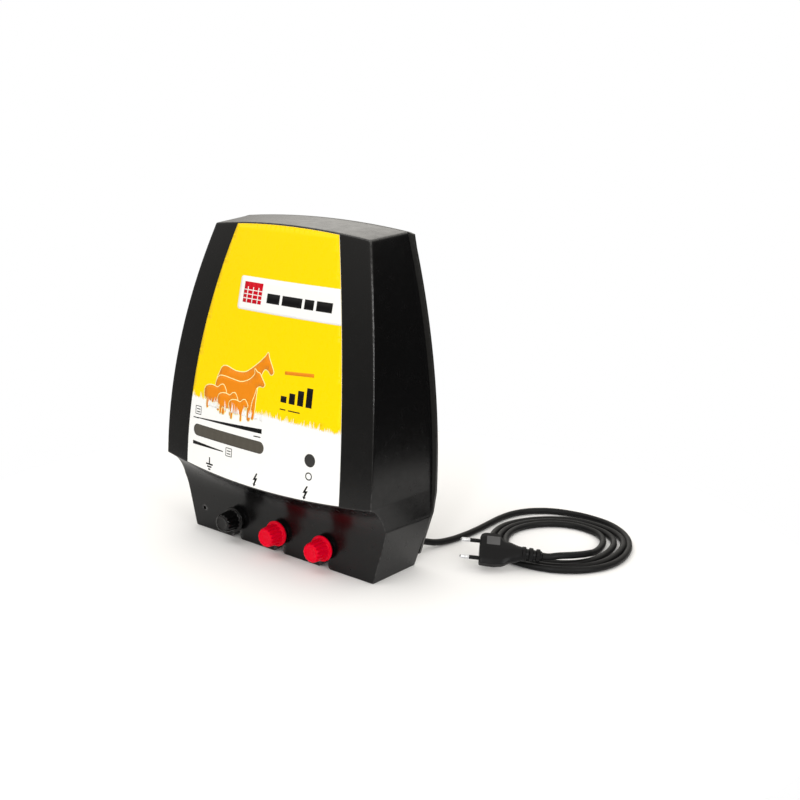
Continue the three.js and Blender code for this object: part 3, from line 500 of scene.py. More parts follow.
# ---- the housing's surfaces
WALL = 2.6
Z_LIP, Z_TOP = 84, 320
FACE_HEIGHT = Z_TOP - Z_LIP
HALF_WIDTH = (133, 124, 96.8)
DEPTH = (91.4, 79.8, 54)
BULGE = (9, 4.3)
ARCH = (-8, 6.5)
DRAFT = (6, 3.8)
TOP_RISE, BACK_ARCH = 4.5, 5.4
PANEL_Y = -66
Z_CREASE, Z_PANEL = 56, 40
CREASE_HALF, FOOT_HALF, FOOT_HALF_BACK = 133.5, 118.4, 121.7
FILLET = math.radians(72)
CREASE_ANGLE = 20.23        # where along the hollow the crease in the sides lies
SHELF_LOW, SHELF_HIGH = 12.2, 14.8
RIM_Y = -3.3
LABEL_MARGIN = 34
TERMINALS = {"earth": -59, "fence_1": 0, "fence_2": 59}
TERMINAL_Z = 22


def through(values, share):
    """The parabola through a value at the lip, half way up and at the top."""
    lip, middle, top = values
    return lip * (1 - share) * (1 - 2 * share) + 4 * middle * share * (1 - share) + top * share * (2 * share - 1)


def face_half(share):
    return through(HALF_WIDTH, share)


def face_point(share, x, inset=0.0):
    middle = 1 - (x / face_half(share)) ** 2
    z = mix(Z_LIP, Z_TOP, share) + mix(*ARCH, share) * middle
    return x, -(through(DEPTH, share) + mix(*BULGE, share) * middle - inset), z


def on_face(x, z, lift=0.0):
    """The point of the label face at a width and a height, lifted off it."""
    share = (z - Z_LIP) / FACE_HEIGHT
    for _ in range(5):
        middle = 1 - (x / face_half(share)) ** 2
        share = (z - Z_LIP - ARCH[0] * middle) / (FACE_HEIGHT + (ARCH[1] - ARCH[0]) * middle)
    return face_point(share, x, -lift)


def bay_half(z):
    return mix(FOOT_HALF, CREASE_HALF, z / Z_CREASE)


def bay_half_back(z):
    return mix(FOOT_HALF_BACK, CREASE_HALF + DRAFT[0], z / Z_CREASE)


def columns(half, soft, count=14):
    """Places across a row: its two ends, a support beside each, and even steps between."""
    inner = half - soft
    return [-half] + [mix(-inner, inner, k / count) for k in range(count + 1)] + [half]


def housing_rows(inset, rear_y, bottom, shares, angles, heights):
    """Rows of (front points, rear points, softness of the row's ends) from the top edge down."""
    rows = []
    for share in shares:
        soft = mix(1.5, 3.4, share)
        half = face_half(share) - inset
        back = face_half(share) + mix(*DRAFT, share) - inset
        front = [face_point(share, x, inset) for x in columns(half, soft)]
        rear = []
        for x in columns(back, soft):
            across = x / back
            rise = share * (TOP_RISE + BACK_ARCH * (1 - across * across))
            rear.append((x, rear_y, mix(Z_LIP, Z_TOP, share) + rise))
        rows.append((front, rear, soft))
    soft = 1.3
    for degrees in angles:
        angle = math.radians(degrees)
        reach = (1 - math.cos(angle)) / (1 - math.cos(FILLET))
        rise = math.sin(angle) / math.sin(FILLET)
        edge_z = Z_PANEL + (Z_LIP - Z_PANEL) * rise
        in_bay = edge_z < Z_CREASE + 0.5
        half = (bay_half(edge_z) if in_bay else HALF_WIDTH[0]) - inset
        back = (bay_half_back(edge_z) if in_bay else HALF_WIDTH[0] + DRAFT[0]) - inset
        front = []
        for x in columns(half, soft):
            middle = 1 - (x / half) ** 2
            out = (DEPTH[0] + PANEL_Y + BULGE[0] * middle) * reach
            up = (Z_LIP - Z_PANEL + ARCH[0] * middle) * rise
            front.append((x, PANEL_Y - out + inset * math.cos(angle), Z_PANEL + up + inset * math.sin(angle)))
        rows.append((front, [(x, rear_y, edge_z + inset * math.sin(angle)) for x in columns(back, soft)], soft))
    for z in (*heights, bottom):
        front = [(x, PANEL_Y + inset, z) for x in columns(bay_half(z) - inset, soft)]
        rows.append((front, [(x, rear_y, z) for x in columns(bay_half_back(z) - inset, soft)], soft))
    return rows


def add_ruled_body(bm, rows, rim_soft=0.0, place=at):
    """A closed body between the front and rear points of the rows, with straight lines round its edge."""
    last_row, last_column = len(rows) - 1, len(rows[0][0]) - 1
    front, rear = ([[bm.verts.new(place(*point)) for point in row[side]] for row in rows] for side in (0, 1))

    def ladder(row, column):
        ends = [front[row][column], rear[row][column]]
        if not rim_soft:
            return ends
        a, b = Vector(rows[row][0][column]), Vector(rows[row][1][column])
        length = (b - a).length
        near = (1.9 if row in (0, last_row) else rows[row][2]) / length
        far = 1 - rim_soft / length
        steps = [near] + [mix(near, far, k / 5) for k in range(1, 5)] + [far]
        return [ends[0], *(bm.verts.new(place(*a.lerp(b, step))) for step in steps), ends[1]]

    def strip(one, two):
        for k in range(len(one) - 1):
            bm.faces.new((one[k], one[k + 1], two[k + 1], two[k]))

    rim = [(0, c) for c in range(last_column)] + [(r, last_column) for r in range(last_row)]
    rim += [(last_row, c) for c in range(last_column, 0, -1)] + [(r, 0) for r in range(last_row, 0, -1)]
    ladders = [ladder(*corner) for corner in rim]
    for one, two in zip(ladders, ladders[1:] + ladders[:1]):
        strip(one, two)
    for row in range(last_row):
        for sheet in (front, rear):
            strip(sheet[row], sheet[row + 1])
    return bm


def notch_outline(x, half=4.3, top=10, mouth=4.5):
    """A cable notch: straight sides under a flat top, opening in two round corners."""
    right = circle(x + half + mouth, mouth, mouth, 8, 270, 180)
    left = circle(x - half - mouth, mouth, mouth, 8, 0, -90)
    return [(x + half + mouth, -2), *right, (x + half, top), (x - half, top), *left, (x - half - mouth, -2)]


def stadium(x0, x1, z, radius):
    return circle(x1, z, radius, 16, -90, 90) + circle(x0, z, radius, 16, 90, 270)


WINDOW = (-85, 2, 118, 6)       # the ends, height and radius of the display's slot
LAMP = (64, 118, 6.3)           # the place, height and radius of the lamp's hole
RECESS_X0, RECESS_X1, RECESS_Y, RECESS_Z = 84, 116, -30, 36
CORD_X, CORD_Z = 100, 20.6


def cut_for_lenses(bm):
    """Adds tools that go right through the face where the display and the lamp are."""
    add_slab(bm, stadium(*WINDOW), -120, -75)
    return add_rod(bm, *LAMP[:2], -120, -75, LAMP[2], 40)


def front_casing():
    """The black shell: bowed label face, hollow under its lip, terminal panel, skirt and lead pocket."""
    shares = [1, 1 - 1.7 / FACE_HEIGHT, *(k / 14 for k in range(13, 0, -1)), 1.2 / FACE_HEIGHT, 0]
    angles = [70.4, 66, 60, 53, 46, 39, 32, 26.5, 22, CREASE_ANGLE, 18.5, 14, 8, 0]
    body = add_ruled_body(bmesh.new(), housing_rows(0, RIM_Y, 0, shares, angles, (35, 26, 17, 7, 1)), 0.5)
    piece = publish("casing_shell", body, "housing")
    smooth = piece.modifiers.new("smooth", "SUBSURF")
    smooth.levels = smooth.render_levels = 2
    settle(piece)
    inner_shares = [1 - WALL * 1.1 / FACE_HEIGHT, 0.75, 0.5, 0.25, WALL * 1.3 / FACE_HEIGHT]
    inner_angles = (64, 45, 31, CREASE_ANGLE, 9, 0)
    cavity = add_ruled_body(bmesh.new(), housing_rows(WALL, 6, SHELF_HIGH, inner_shares, inner_angles, ()))
    skirt_y = PANEL_Y + WALL
    skirt = [([(s * (bay_half(z) - WALL), skirt_y, z) for s in (-1, 1)],
              [(s * (bay_half_back(z) - WALL), RIM_Y - WALL, z) for s in (-1, 1)], 0) for z in (SHELF_LOW, -2)]
    add_ruled_body(cavity, skirt)
    carve(piece, "DIFFERENCE", cavity)
    extras = add_box(bmesh.new(), RECESS_X0 - WALL, RECESS_X1 + WALL, RECESS_Y - WALL, RIM_Y, SHELF_LOW,
                     RECESS_Z + WALL)
    for x in TERMINALS.values():
        add_box(extras, x - 6.9, x + 6.9, skirt_y - 0.5, PANEL_Y + 10, 0.02, SHELF_LOW + 0.5)
        boss = [(-0.5, 0), (-0.5, 9.9), (1.6, 9.9), (2, 9.5), (2, 0)]
        add_lathe(extras, boss, facing(x, PANEL_Y, TERMINAL_Z, -90))
    carve(piece, "UNION", extras)
    holes = add_box(bmesh.new(), RECESS_X0, RECESS_X1, RECESS_Y, 1, -1, RECESS_Z)
    for x in TERMINALS.values():
        add_slab(holes, notch_outline(x), PANEL_Y - 1, PANEL_Y + 11)
        add_rod(holes, x, TERMINAL_Z, -70, -60, 3.3)
    add_rod(holes, -106, TERMINAL_Z, -70, -60, 2)
    add_rod(holes, CORD_X, CORD_Z, RECESS_Y - 5, RECESS_Y - 0.5, 5.3)
    cut_for_lenses(holes)
    carve(piece, "DIFFERENCE", holes)
    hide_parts("front_casing")


# ---- rear plate and its screws
def screw_reach(z):
    """How far from the middle the screws at a height are."""
    share = (z - Z_LIP) / FACE_HEIGHT
    return face_half(max(share, 0)) + mix(*DRAFT, share) - 1.4 - WALL - 5.2


SCREWS = [(side * screw_reach(z), z) for z in (300, 180, 72) for side in (-1, 1)]


def plate_outline():
    flange = 9.6        # how far the plate's edge stands out past the label face
    right = [(bay_half_back(13) + 0.8, 13), (140, 60), (HALF_WIDTH[0] + flange, 80)]
    right += [(face_half(k / 24) + flange, mix(Z_LIP, Z_TOP, k / 24)) for k in range(1, 24)]
    right.append((106.4, 323))
    top_half = HALF_WIDTH[2] + DRAFT[1]
    across = [1 - k / 16 for k in range(33)]
    crown = [(share * top_half, Z_TOP + TOP_RISE + BACK_ARCH * (1 - share ** 2)) for share in across]
    return right + crown + [(-x, z) for x, z in reversed(right)]


def rear_plate():
    """The flat cover against the wall, with two keyholes and countersunk screw holes."""
    piece = publish("rear_cover", add_slab(bmesh.new(), plate_outline(), -3, 0), "plate")
    pockets, hollows, keys = bmesh.new(), bmesh.new(), bmesh.new()
    head, neck = 4.6, 2.4       # radii of a keyhole's wide and narrow ends
    start = math.degrees(math.acos(neck / head))
    for x in (-70, 70):
        add_box(pockets, x - 7, x + 7, -10, -2.5, 277, 300)
        add_box(hollows, x - 5.2, x + 5.2, -8.5, -1.6, 278.8, 298.2)
        key = circle(x, 284, head, 32, 180 - start, 360 + start) + circle(x, 295, neck, 16, 0, 180)
        add_slab(keys, key, -2.6, 1)
    carve(piece, "UNION", pockets)
    add_box(hollows, RECESS_X0, RECESS_X1, -4, 1, 0, RECESS_Z)
    for x, z in SCREWS:
        add_rod(hollows, x, z, -4, -2.3, 2.2)
        add_rod(hollows, x, z, -2.31, 0.3, 2.2, end_radius=4.8)
    carve(piece, "DIFFERENCE", hollows, keys)
    ribs = bmesh.new()
    for z in (118, 158, 198, 238):
        add_box(ribs, -70, 70, -5, -2.8, z - 0.9, z + 0.9)
    carve(piece, "UNION", ribs)
    edge_bevel(piece, 0.5)
    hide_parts("rear_plate")


def cover_screws():
    """Countersunk cross-recess screws in the rear plate."""
    def thread(angle, along):
        return 0.25 * math.sin(angle - along * 2 * math.pi / 0.9) if along < -3 else 0

    profile = [(0.0, 0), (0.0, 3.4), (-0.25, 3.7), *((-2.2 - k * 0.3, 1.75) for k in range(54)),
               (-20, 0.4), (-20, 0)]
    for order, (x, z) in enumerate(SCREWS, 1):
        screw = add_lathe(bmesh.new(), profile, facing(x, -0.3, z, 90), 24, thread)
        piece = publish(f"cover_screw_{order}", screw, "steel")
        slots = add_box(bmesh.new(), x - 2.2, x + 2.2, -1.4, 0.5, z - 0.42, z + 0.42)
        cross = add_box(bmesh.new(), x - 0.42, x + 0.42, -1.4, 0.5, z - 2.2, z + 2.2)
        carve(piece, "DIFFERENCE", slots, cross)
        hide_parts(f"housing_screw_{order}")


# ---- label and its printing
LABEL_EDGE = 0.006
LABEL_TOP = 0.28            # how far the label's skin stands off the casing


def label_sheet():
    """The membrane bonded to the face, with holes for the display and the lamp."""
    rows = []
    for k in range(57):
        share = mix(1 - LABEL_EDGE, LABEL_EDGE, k / 56)
        half = label_side(share)
        xs = [mix(-half, half, c / 44) for c in range(45)]
        rows.append(([face_point(share, x, -LABEL_TOP) for x in xs], [face_point(share, x, 0.2) for x in xs]))
    piece = publish("label_sheet", add_ruled_body(bmesh.new(), rows), "label")
    carve(piece, "DIFFERENCE", cut_for_lenses(bmesh.new()))
    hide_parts("label_membrane")


def lens(name, node, slot, outline, depth):
    """A clear part let into the label, following its curve with a soft edge."""
    piece = publish(name, add_film(bmesh.new(), [outline], 4, -depth), slot)
    thicken(piece, 1.6)
    settle(piece)
    edge_bevel(piece, 0.25, 3, 50)
    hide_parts(node)


def dense(loop, step):
    """The outline with points added, so that no side is longer than a step."""
    result = []
    for start, end in zip(loop, loop[1:] + loop[:1]):
        count = max(1, math.ceil(math.dist(start, end) / step))
        result += [(mix(start[0], end[0], k / count), mix(start[1], end[1], k / count)) for k in range(count)]
    return result


def add_film(bm, loops, cell, lift):
    """A thin skin over the face inside each outline, split finely enough to follow its curve."""
    for loop in loops:
        points = [Vector(point) for point in dense(loop, cell / 2)]
        count = len(points)
        edges = [(k, (k + 1) % count) for k in range(count)]
        x0, x1 = min(p.x for p in points), max(p.x for p in points)
        z0, z1 = min(p.y for p in points), max(p.y for p in points)
        for column in range(math.ceil(x0 / cell), math.floor(x1 / cell) + 1):
            for row in range(math.ceil(z0 / cell), math.floor(z1 / cell) + 1):
                points.append(Vector((column * cell + 0.013, row * cell + 0.017)))
        verts, _, faces, *_ = delaunay_2d_cdt(points, edges, [], 1, 1e-5)
        made = [bm.verts.new(at(*on_face(v.x, v.y, lift))) for v in verts]
        for face in faces:
            corners = [made[k] for k in face]
            # Faces look away from the wall.
            if (corners[1].co - corners[0].co).cross(corners[2].co - corners[0].co).y > 0:
                corners.reverse()
            bm.faces.new(corners)
        for vert in made:
            if not vert.link_faces:
                bm.verts.remove(vert)
    return bm


def print_ink(name, look, layers, thickness=0.02):
    """One ink: each layer is (lift in millimetres, outlines)."""
    bm = bmesh.new()
    for lift, loops in layers:
        add_film(bm, loops, 6, LABEL_TOP + lift)
    thicken(publish(name, bm, "label", look, turn=False), thickness)


def stroke(points, width, end_width=None):
    """A line of some width through points, as an outline."""
    end_width = width if end_width is None else end_width
    points = [Vector(point) for point in points]
    left, right = [], []
    for k, point in enumerate(points):
        ahead = points[min(k + 1, len(points) - 1)] - points[max(k - 1, 0)]
        normal = Vector((-ahead.y, ahead.x)).normalized()
        half = mix(width, end_width, k / (len(points) - 1)) / 2
        left.append(tuple(point + normal * half))
        right.append(tuple(point - normal * half))
    return left + right[::-1]


def rounded(points, steps=3):
    """A closed smooth outline through the points."""
    count = len(points)
    result = []
    for k in range(count):
        p0, p1, p2, p3 = (Vector(points[(k + j - 1) % count]) for j in range(4))
        for step in range(steps):
            t = step / steps
            curve = 2 * p1 + (p2 - p0) * t + (2 * p0 - 5 * p1 + 4 * p2 - p3) * t ** 2
            curve += (3 * p1 - p0 - 3 * p2 + p3) * t ** 3
            result.append(tuple(curve / 2))
    return result


def grown(outline, width):
    """The outline pushed outwards by a width."""
    following = outline[1:] + outline[:1]
    area = sum(x * next_z - next_x * z for (x, z), (next_x, next_z) in zip(outline, following))
    sign = -1 if area > 0 else 1
    result = []
    for k, (x, z) in enumerate(outline):
        ahead = Vector(following[k]) - Vector(outline[k - 1])
        normal = Vector((-ahead.y, ahead.x)).normalized() * sign
        result.append((x + normal.x * width, z + normal.y * width))
    return result


CATTLE = [(1, 33), (4, 39), (10, 41), (24, 40), (38, 39), (48, 42), (54, 46), (58, 51), (57, 56), (61, 53), (65, 52),
          (69, 47), (73, 42), (71, 39), (66, 39), (62, 36), (60, 29), (57, 21), (56, 12), (56, 1), (52, 1), (51, 12),
          (49, 18), (40, 16), (28, 15), (20, 18), (17, 12), (17, 1), (13, 1), (12, 12), (8, 20), (5, 24), (2, 14),
          (0, 14), (0, 24)]
PONY = [(1, 40), (5, 48), (12, 50), (26, 47), (40, 48), (50, 54), (60, 62), (67, 69), (70, 73), (72, 68), (77, 60),
        (80, 54), (77, 51), (72, 55), (67, 55), (63, 47), (60, 36), (59, 22), (58, 2), (54, 2), (53, 20), (50, 29),
        (38, 27), (24, 28), (18, 22), (16, 2), (12, 2), (11, 20), (7, 29), (3, 30), (0, 18), (-2, 26), (-1, 36)]
SHEEP = [(0, 15), (1, 20), (5, 23), (12, 24), (19, 23), (23, 26), (27, 27), (30, 24), (32, 20), (30, 18), (27, 18),
         (25, 13), (23, 9), (23, 1), (20.5, 1), (20, 8), (13, 7), (8, 8), (7, 1), (4.5, 1), (4, 9), (1, 11)]
BOLT = [(1.2, 6.4), (-3.0, -1.0), (-0.4, -0.6), (-1.9, -4.6), (-2.9, -4.0), (-1.4, -7.2), (1.2, -4.8), (-0.1, -4.7),
        (3.0, 1.8), (0.4, 1.4), (2.9, 6.4)]


def ground(x):
    """The height at which the grass begins."""
    return mix(150.5, 147.5, (x + 95) / 185)


def grass(x0, x1, high, seed, step=1.15):
    """A ragged line of blades from one side to the other."""
    draw = random.Random(seed)
    line = []
    x = x0
    while x < x1:
        line.append((x, ground(x) + draw.uniform(-0.9, 0.5)))
        tip = draw.uniform(0.25, 1) ** 1.5 * high
        line.append((x + step * draw.uniform(0.3, 0.9), ground(x) + tip))
        x += step * draw.uniform(0.8, 1.5)
    line.append((x1, ground(x1)))
    return line


def label_side(share):
    return face_half(share) - LABEL_MARGIN


def print_grounds():
    """The yellow field above a line of grass, the white nameplate and loose blades of grass."""
    end = 1 - LABEL_EDGE
    start = (ground(-90) - Z_LIP + 2) / FACE_HEIGHT
    shares = [mix(start, end, k / 24) for k in range(25)]
    right = [face_point(share, label_side(share)) for share in shares]
    left = [face_point(share, -label_side(share)) for share in reversed(shares)]
    top = [face_point(end, mix(1, -1, k / 12) * label_side(end)) for k in range(1, 12)]
    outline = [(x, z) for x, _, z in (*right, *top, *left)]
    lower = grass(left[-1][0] + 0.3, right[0][0] - 0.3, 7.5, 5)
    print_ink("print_yellow", YELLOW_INK, [(0.03, [outline + lower])])
    # The nameplate runs off the right side.
    side = [face_point(share, label_side(share) - 0.15)[::2] for share in (0.674, 0.707, 0.739, 0.772, 0.804)]
    plate = circle(-42, 247, 3, 8, 180, 270) + side + circle(-42, 272.5, 3, 8, 90, 180)
    draw = random.Random(9)
    blades = []
    for _ in range(46):
        x, tall, lean = draw.uniform(-78, 4), draw.uniform(5, 11), draw.uniform(-2.2, 2.2)
        foot = ground(x) - 5
        blades.append([(x - 0.55, foot), (x + 0.55, foot), (x + lean * 0.5 + 0.3, foot + tall * 0.6),
                       (x + lean, foot + tall), (x + lean * 0.4 - 0.35, foot + tall * 0.6)])
    print_ink("print_white", WHITE_INK, [(0.06, [plate])])
    print_ink("print_blades", WHITE_INK, [(0.26 + 0.001 * k, [blade]) for k, blade in enumerate(blades)], 0.28)


def print_herd():
    herd = ((PONY, -60, 143, 0.9), (CATTLE, -63, 141, 0.9), (SHEEP, -78, 143, 0.98), (SHEEP, -58, 141, 0.86),
            (SHEEP, -42, 138.5, 0.8))
    shapes = [[(x + scale * px, z + scale * pz) for px, pz in rounded(outline)] for outline, x, z, scale in herd]
    print_ink("print_cream", CREAM_INK, [(0.06 + 0.04 * k, [grown(shape, 0.75)]) for k, shape in enumerate(shapes)])
    print_ink("print_orange", ORANGE_INK, [(0.08 + 0.04 * k, [shape]) for k, shape in enumerate(shapes)])


def bars(foot, *sizes):
    """Upright bars on one line: each is (left side, width, height)."""
    return [[(x, foot), (x + w, foot), (x + w, foot + h), (x, foot + h)] for x, w, h in sizes]


def print_signs():
    """A generic mark of a fence, bars for the lettering, scales beside the display and the terminals' signs."""
    print_ink("print_red", RED_INK, [(0.09, bars(251, (-39, 24, 19.5)))])
    rails = [stroke([(-39.2, z), (-14.8, z)], 0.8) for z in (255, 259, 263)]
    posts = [stroke([(x, 250.8), (x, 266)], 1.1) for x in (-34, -27, -20)]
    print_ink("print_mark", WHITE_INK, [(0.12, rails), (0.14, posts)])
    signs = bars(253.5, (-8, 16, 9), (11, 24, 9), (38, 11, 9), (52, 18, 9))
    signs += bars(166, (24, 7, 6), (34, 7, 10), (44, 7, 14), (54, 7, 18))
    signs += [stroke([(-86, 130.3), (4, 134)], 0.8, 4.6), stroke([(-91, 104.5), (-46, 104)], 3.6, 0.9)]
    lines = (((-65, 94), (-65, 87), 1.5), ((-70, 87), (-60, 87), 1.6), ((-68.2, 84.4), (-61.8, 84.4), 1.5),
             ((-66.6, 81.8), (-63.4, 81.8), 1.5), ((24, 159.5), (31, 159.5), 1.1), ((34, 159.5), (48, 159.5), 1.1),
             ((-92, 130), (-84, 130), 1.0), ((-6, 127.8), (3, 128.2), 1.0))
    signs += [stroke([start, end], width) for start, end, width in lines]
    signs += [[(x + px, z + pz) for px, pz in BOLT] for x, z in ((-1, 86), (61, 87))]
    halves = [stroke(circle(64, 103, 3.3, 24, start, start + 180), 1.1) for start in (0, 180)]
    uprights, others = [], []
    for x, z in ((-85, 138), (-38, 105)):
        uprights += [stroke([(x + side, z - 4), (x + side, z + 4)], 0.7) for side in (-4, 4)]
        others += [stroke([(x - reach, z + up), (x + reach, z + up)], width)
                   for reach, up, width in ((4, -4, 0.7), (4, 4, 0.7), (2.6, -1.6, 0.9), (2.6, 1.2, 0.9))]
    print_ink("print_black", BLACK_INK, [(0.1, signs + halves[:1]), (0.1, others),
                                         (0.12, uprights + halves[1:])])
    print_ink("print_caption", ORANGE_INK, [(0.06, [stroke([(26, 193.5), (60, 196)], 3.2)])])


# ---- terminals
KNOB_REAR = -70.1


def knob(tag, x, slot):
    """A hand knob: a thin flange, a fluted grip that narrows to the front, and a dished end."""
    lobes = 14

    def flutes(angle, along):
        fade = min(1, max(0, (along - 2.6) / 1.6)) * min(1, max(0, (18.2 - along) / 2.2))
        return 0.62 * fade * (math.cos(lobes * angle) - 0.35 * math.cos(2 * lobes * angle))

    grip = [(mix(3.2, 16.3, k / 12), mix(10.3, 9.2, k / 12)) for k in range(13)]
    profile = [(9.8, 0), (9.8, 5.5), (0.5, 5.5), (0, 6), (0, 12.4), (0.25, 12.85), (0.7, 13), (1.5, 13), (1.95, 12.85),
               (2.2, 12.5), (2.3, 12), (2.3, 11.4), (2.5, 10.9), (2.8, 10.6), *grip, (16.9, 9.0), (17.4, 8.6),
               (17.75, 8.0), (17.9, 7.4), (17.9, 6.9), (17.75, 6.5), (17.45, 6.2), (17.3, 5.7), (17.2, 3), (17.15, 0)]
    bm = add_lathe(bmesh.new(), profile, facing(x, KNOB_REAR, TERMINAL_Z, -90), lobes * 12, flutes)
    piece = publish(f"hand_knob_{tag}", bm, slot, smooth=50, body=f"{tag}_knob")
    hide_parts(f"knob_{tag}")


def washer_and_stud(tag, x):
    ring = [(0, 3.6), (0, 9.1), (0.3, 9.4), (0.75, 9.5), (1.2, 9.4), (1.5, 9.1), (1.5, 3.6), (0.75, 3.4)]
    bm = add_lathe(bmesh.new(), ring, facing(x, -68.3, TERMINAL_Z, -90), 72, closed=True)
    piece = publish(f"pressure_washer_{tag}", bm, "steel", body=f"{tag}_clamp")
    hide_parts(f"clamp_washer_{tag}")
    profile = [(-1.5, 0), (-1.5, 2.6), (0, 2.6), *((k * 0.5, 3.0 if k % 2 else 2.55) for k in range(1, 77)),
               (39, 1.9), (39.2, 0)]
    bolt = add_lathe(bmesh.new(), profile, facing(x, -46, TERMINAL_Z, -90), 32)
    stud = publish(f"threaded_stud_{tag}", bolt, "steel", smooth=20)
    carve(stud, "UNION", add_slab(bmesh.new(), circle(x, TERMINAL_Z, 7, 6), -63.1, -61.1))
    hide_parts(f"stud_{tag}")


def terminals():
    for tag, x in TERMINALS.items():
        knob(tag, x, "black_knob" if tag == "earth" else "red_knob")
        washer_and_stud(tag, x)


# ---- supply lead
CORD_R = 3.4
LEAD_ROUTE = [(100, -6.7, 20.6), (100, 0, 20.3), (101, 12, 17.6), (103.5, 26, 12.6), (107.5, 38.5, 7.8),
              (112, 50, 4.8), (117, 66, 3.6), (121, 86, 3.5), (123, 108, 3.5), (123.5, 134, 3.5), (124.4, 158, 3.5),
              (128.5, 178, 3.5), (136.5, 194, 3.5), (147.5, 206, 3.5), (158, 213.2, 3.5), (168, 217.4, 3.5),
              (180, 220.3, 3.5), (192, 221.9, 3.5)]
TAIL_ROUTE = [(240.5, 170.5, 3.5), (245.6, 158, 3.5), (248, 146.5, 3.7), (249.4, 136, 4.8), (250.3, 126, 6.8),
              (250.7, 116.5, 9.2), (249.9, 106.5, 11.3), (247, 96.5, 13), (242.5, 87.2, 14.2), (236.8, 79, 14.9)]
COIL_MIDDLE = (203.7, 134.3)
# How far the lead passes beyond and before the middle, half a turn apart, then to its right and left, and
# how square each quarter turn is: one is an ellipse, less is fuller.
FAR_NEAR = (87.4, 72, 71, 65, 62, 56.5, 55)
RIGHT_LEFT = (73.4, 64.4, 64.6, 57, 55.2, 49.6, 46.6)
SQUARE = (1.02, 1, 1, 1.15, 0.78, 1, 1, 1.1, 0.78, 1, 1, 1.1, 0.84)
COIL_TURNS = 3.125
PLUG_PLACE = (Matrix.Translation(at(172.4, 34.4, 18.4)) @ Matrix.Rotation(math.radians(32.6), 4, "Z")
              @ Matrix.Rotation(math.radians(3.3), 4, "Y") @ Matrix.Rotation(math.radians(-49.5), 4, "X")
              @ Matrix.Scale(MM, 4))
RELIEF_START, RELIEF_END = 41, 62


def on_plug(x, y, z):
    return PLUG_PLACE @ Vector((x, y, z))


def coil_point(turn):
    """The lead's middle after so many turns of its inward spiral, clockwise from the far side."""
    square = SQUARE[int(4 * turn)]
    across, away = math.sin(2 * math.pi * turn), math.cos(2 * math.pi * turn)
    x = RIGHT_LEFT[int(2 * turn)] * math.copysign(abs(across) ** square, across)
    y = FAR_NEAR[int(2 * turn + 0.5)] * math.copysign(abs(away) ** square, away)
    return COIL_MIDDLE[0] + x, COIL_MIDDLE[1] + y, 3.5


def supply_cord(plug_pieces):
    steps = 24      # points in one turn of the coil
    coil = [coil_point(step / steps) for step in range(round(COIL_TURNS * steps))]
    points = [at(*point) for point in LEAD_ROUTE + coil + TAIL_ROUTE]
    points += [on_plug(RELIEF_END + beyond, 0, 0) for beyond in (6, 0.3)]
    data = bpy.data.curves.new("supply_cord", "CURVE")
    data.dimensions = "3D"
    data.bevel_depth = CORD_R * MM
    data.bevel_resolution = 6
    data.resolution_u = 6
    data.use_fill_caps = True
    spline = data.splines.new("BEZIER")
    spline.bezier_points.add(len(points) - 1)
    for bezier, point in zip(spline.bezier_points, points):
        bezier.co = point
        bezier.handle_left_type = bezier.handle_right_type = "AUTO"
    data.materials.append(LOOKS["rubber"])
    piece = shown("supply_cord", data)
    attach(piece, "housing")
    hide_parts("mains_cord", "cord_coil", "cord_tail")


def cord_gland():
    """The boot where the lead leaves: a flange in the pocket's wall and a tapered, grooved sleeve."""
    profile = [(0.1, 0), (0.1, 5.2), (0.4, 5.5), (3, 5.5), (3.1, 5), (6.2, 5), (6.3, 7.6), (6.7, 8), (8.9, 8),
               (9.3, 7.6), (9.4, 6.6)]
    for groove in range(5):
        start = 10.2 + groove * 3.6
        radius = mix(6.3, 4.7, groove / 4)
        profile += [(start, radius), (start + 2.1, radius - 0.12), (start + 2.4, radius - 0.9),
                    (start + 3.3, radius - 1.0)]
    profile += [(28.4, 4.5), (29, 4.2), (29, 0)]
    piece = publish("lead_boot", add_lathe(bmesh.new(), profile, facing(CORD_X, -36, CORD_Z, 90), 48), "rubber")
    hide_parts("cord_gland")


def along_curve(table, along):
    """A smooth value between the (place, value) pairs of a table."""
    for (start, first), (end, last) in zip(table, table[1:]):
        if along <= end:
            share = max(0, (along - start) / (end - start))
            return mix(first, last, share * share * (3 - 2 * share))
    return table[-1][1]


PLUG_UP = ((0, 13.5), (1.2, 15.6), (3.5, 17.1), (7, 17.65), (17, 17.65), (25.5, 10.8), (42.5, 6.9))
PLUG_DOWN = ((0, 15.7), (14, 16.2), (21, 15.3), (33, 10.6), (42.5, 7.2))
PLUG_DEEP = ((0, 6.85), (19, 6.85), (42.5, 6.3))
FACETS = ((0.3, 0.95, 0.95), (0.7, 0.72, 1.06), (1, 0, 1))      # across, up and reach of each flat side


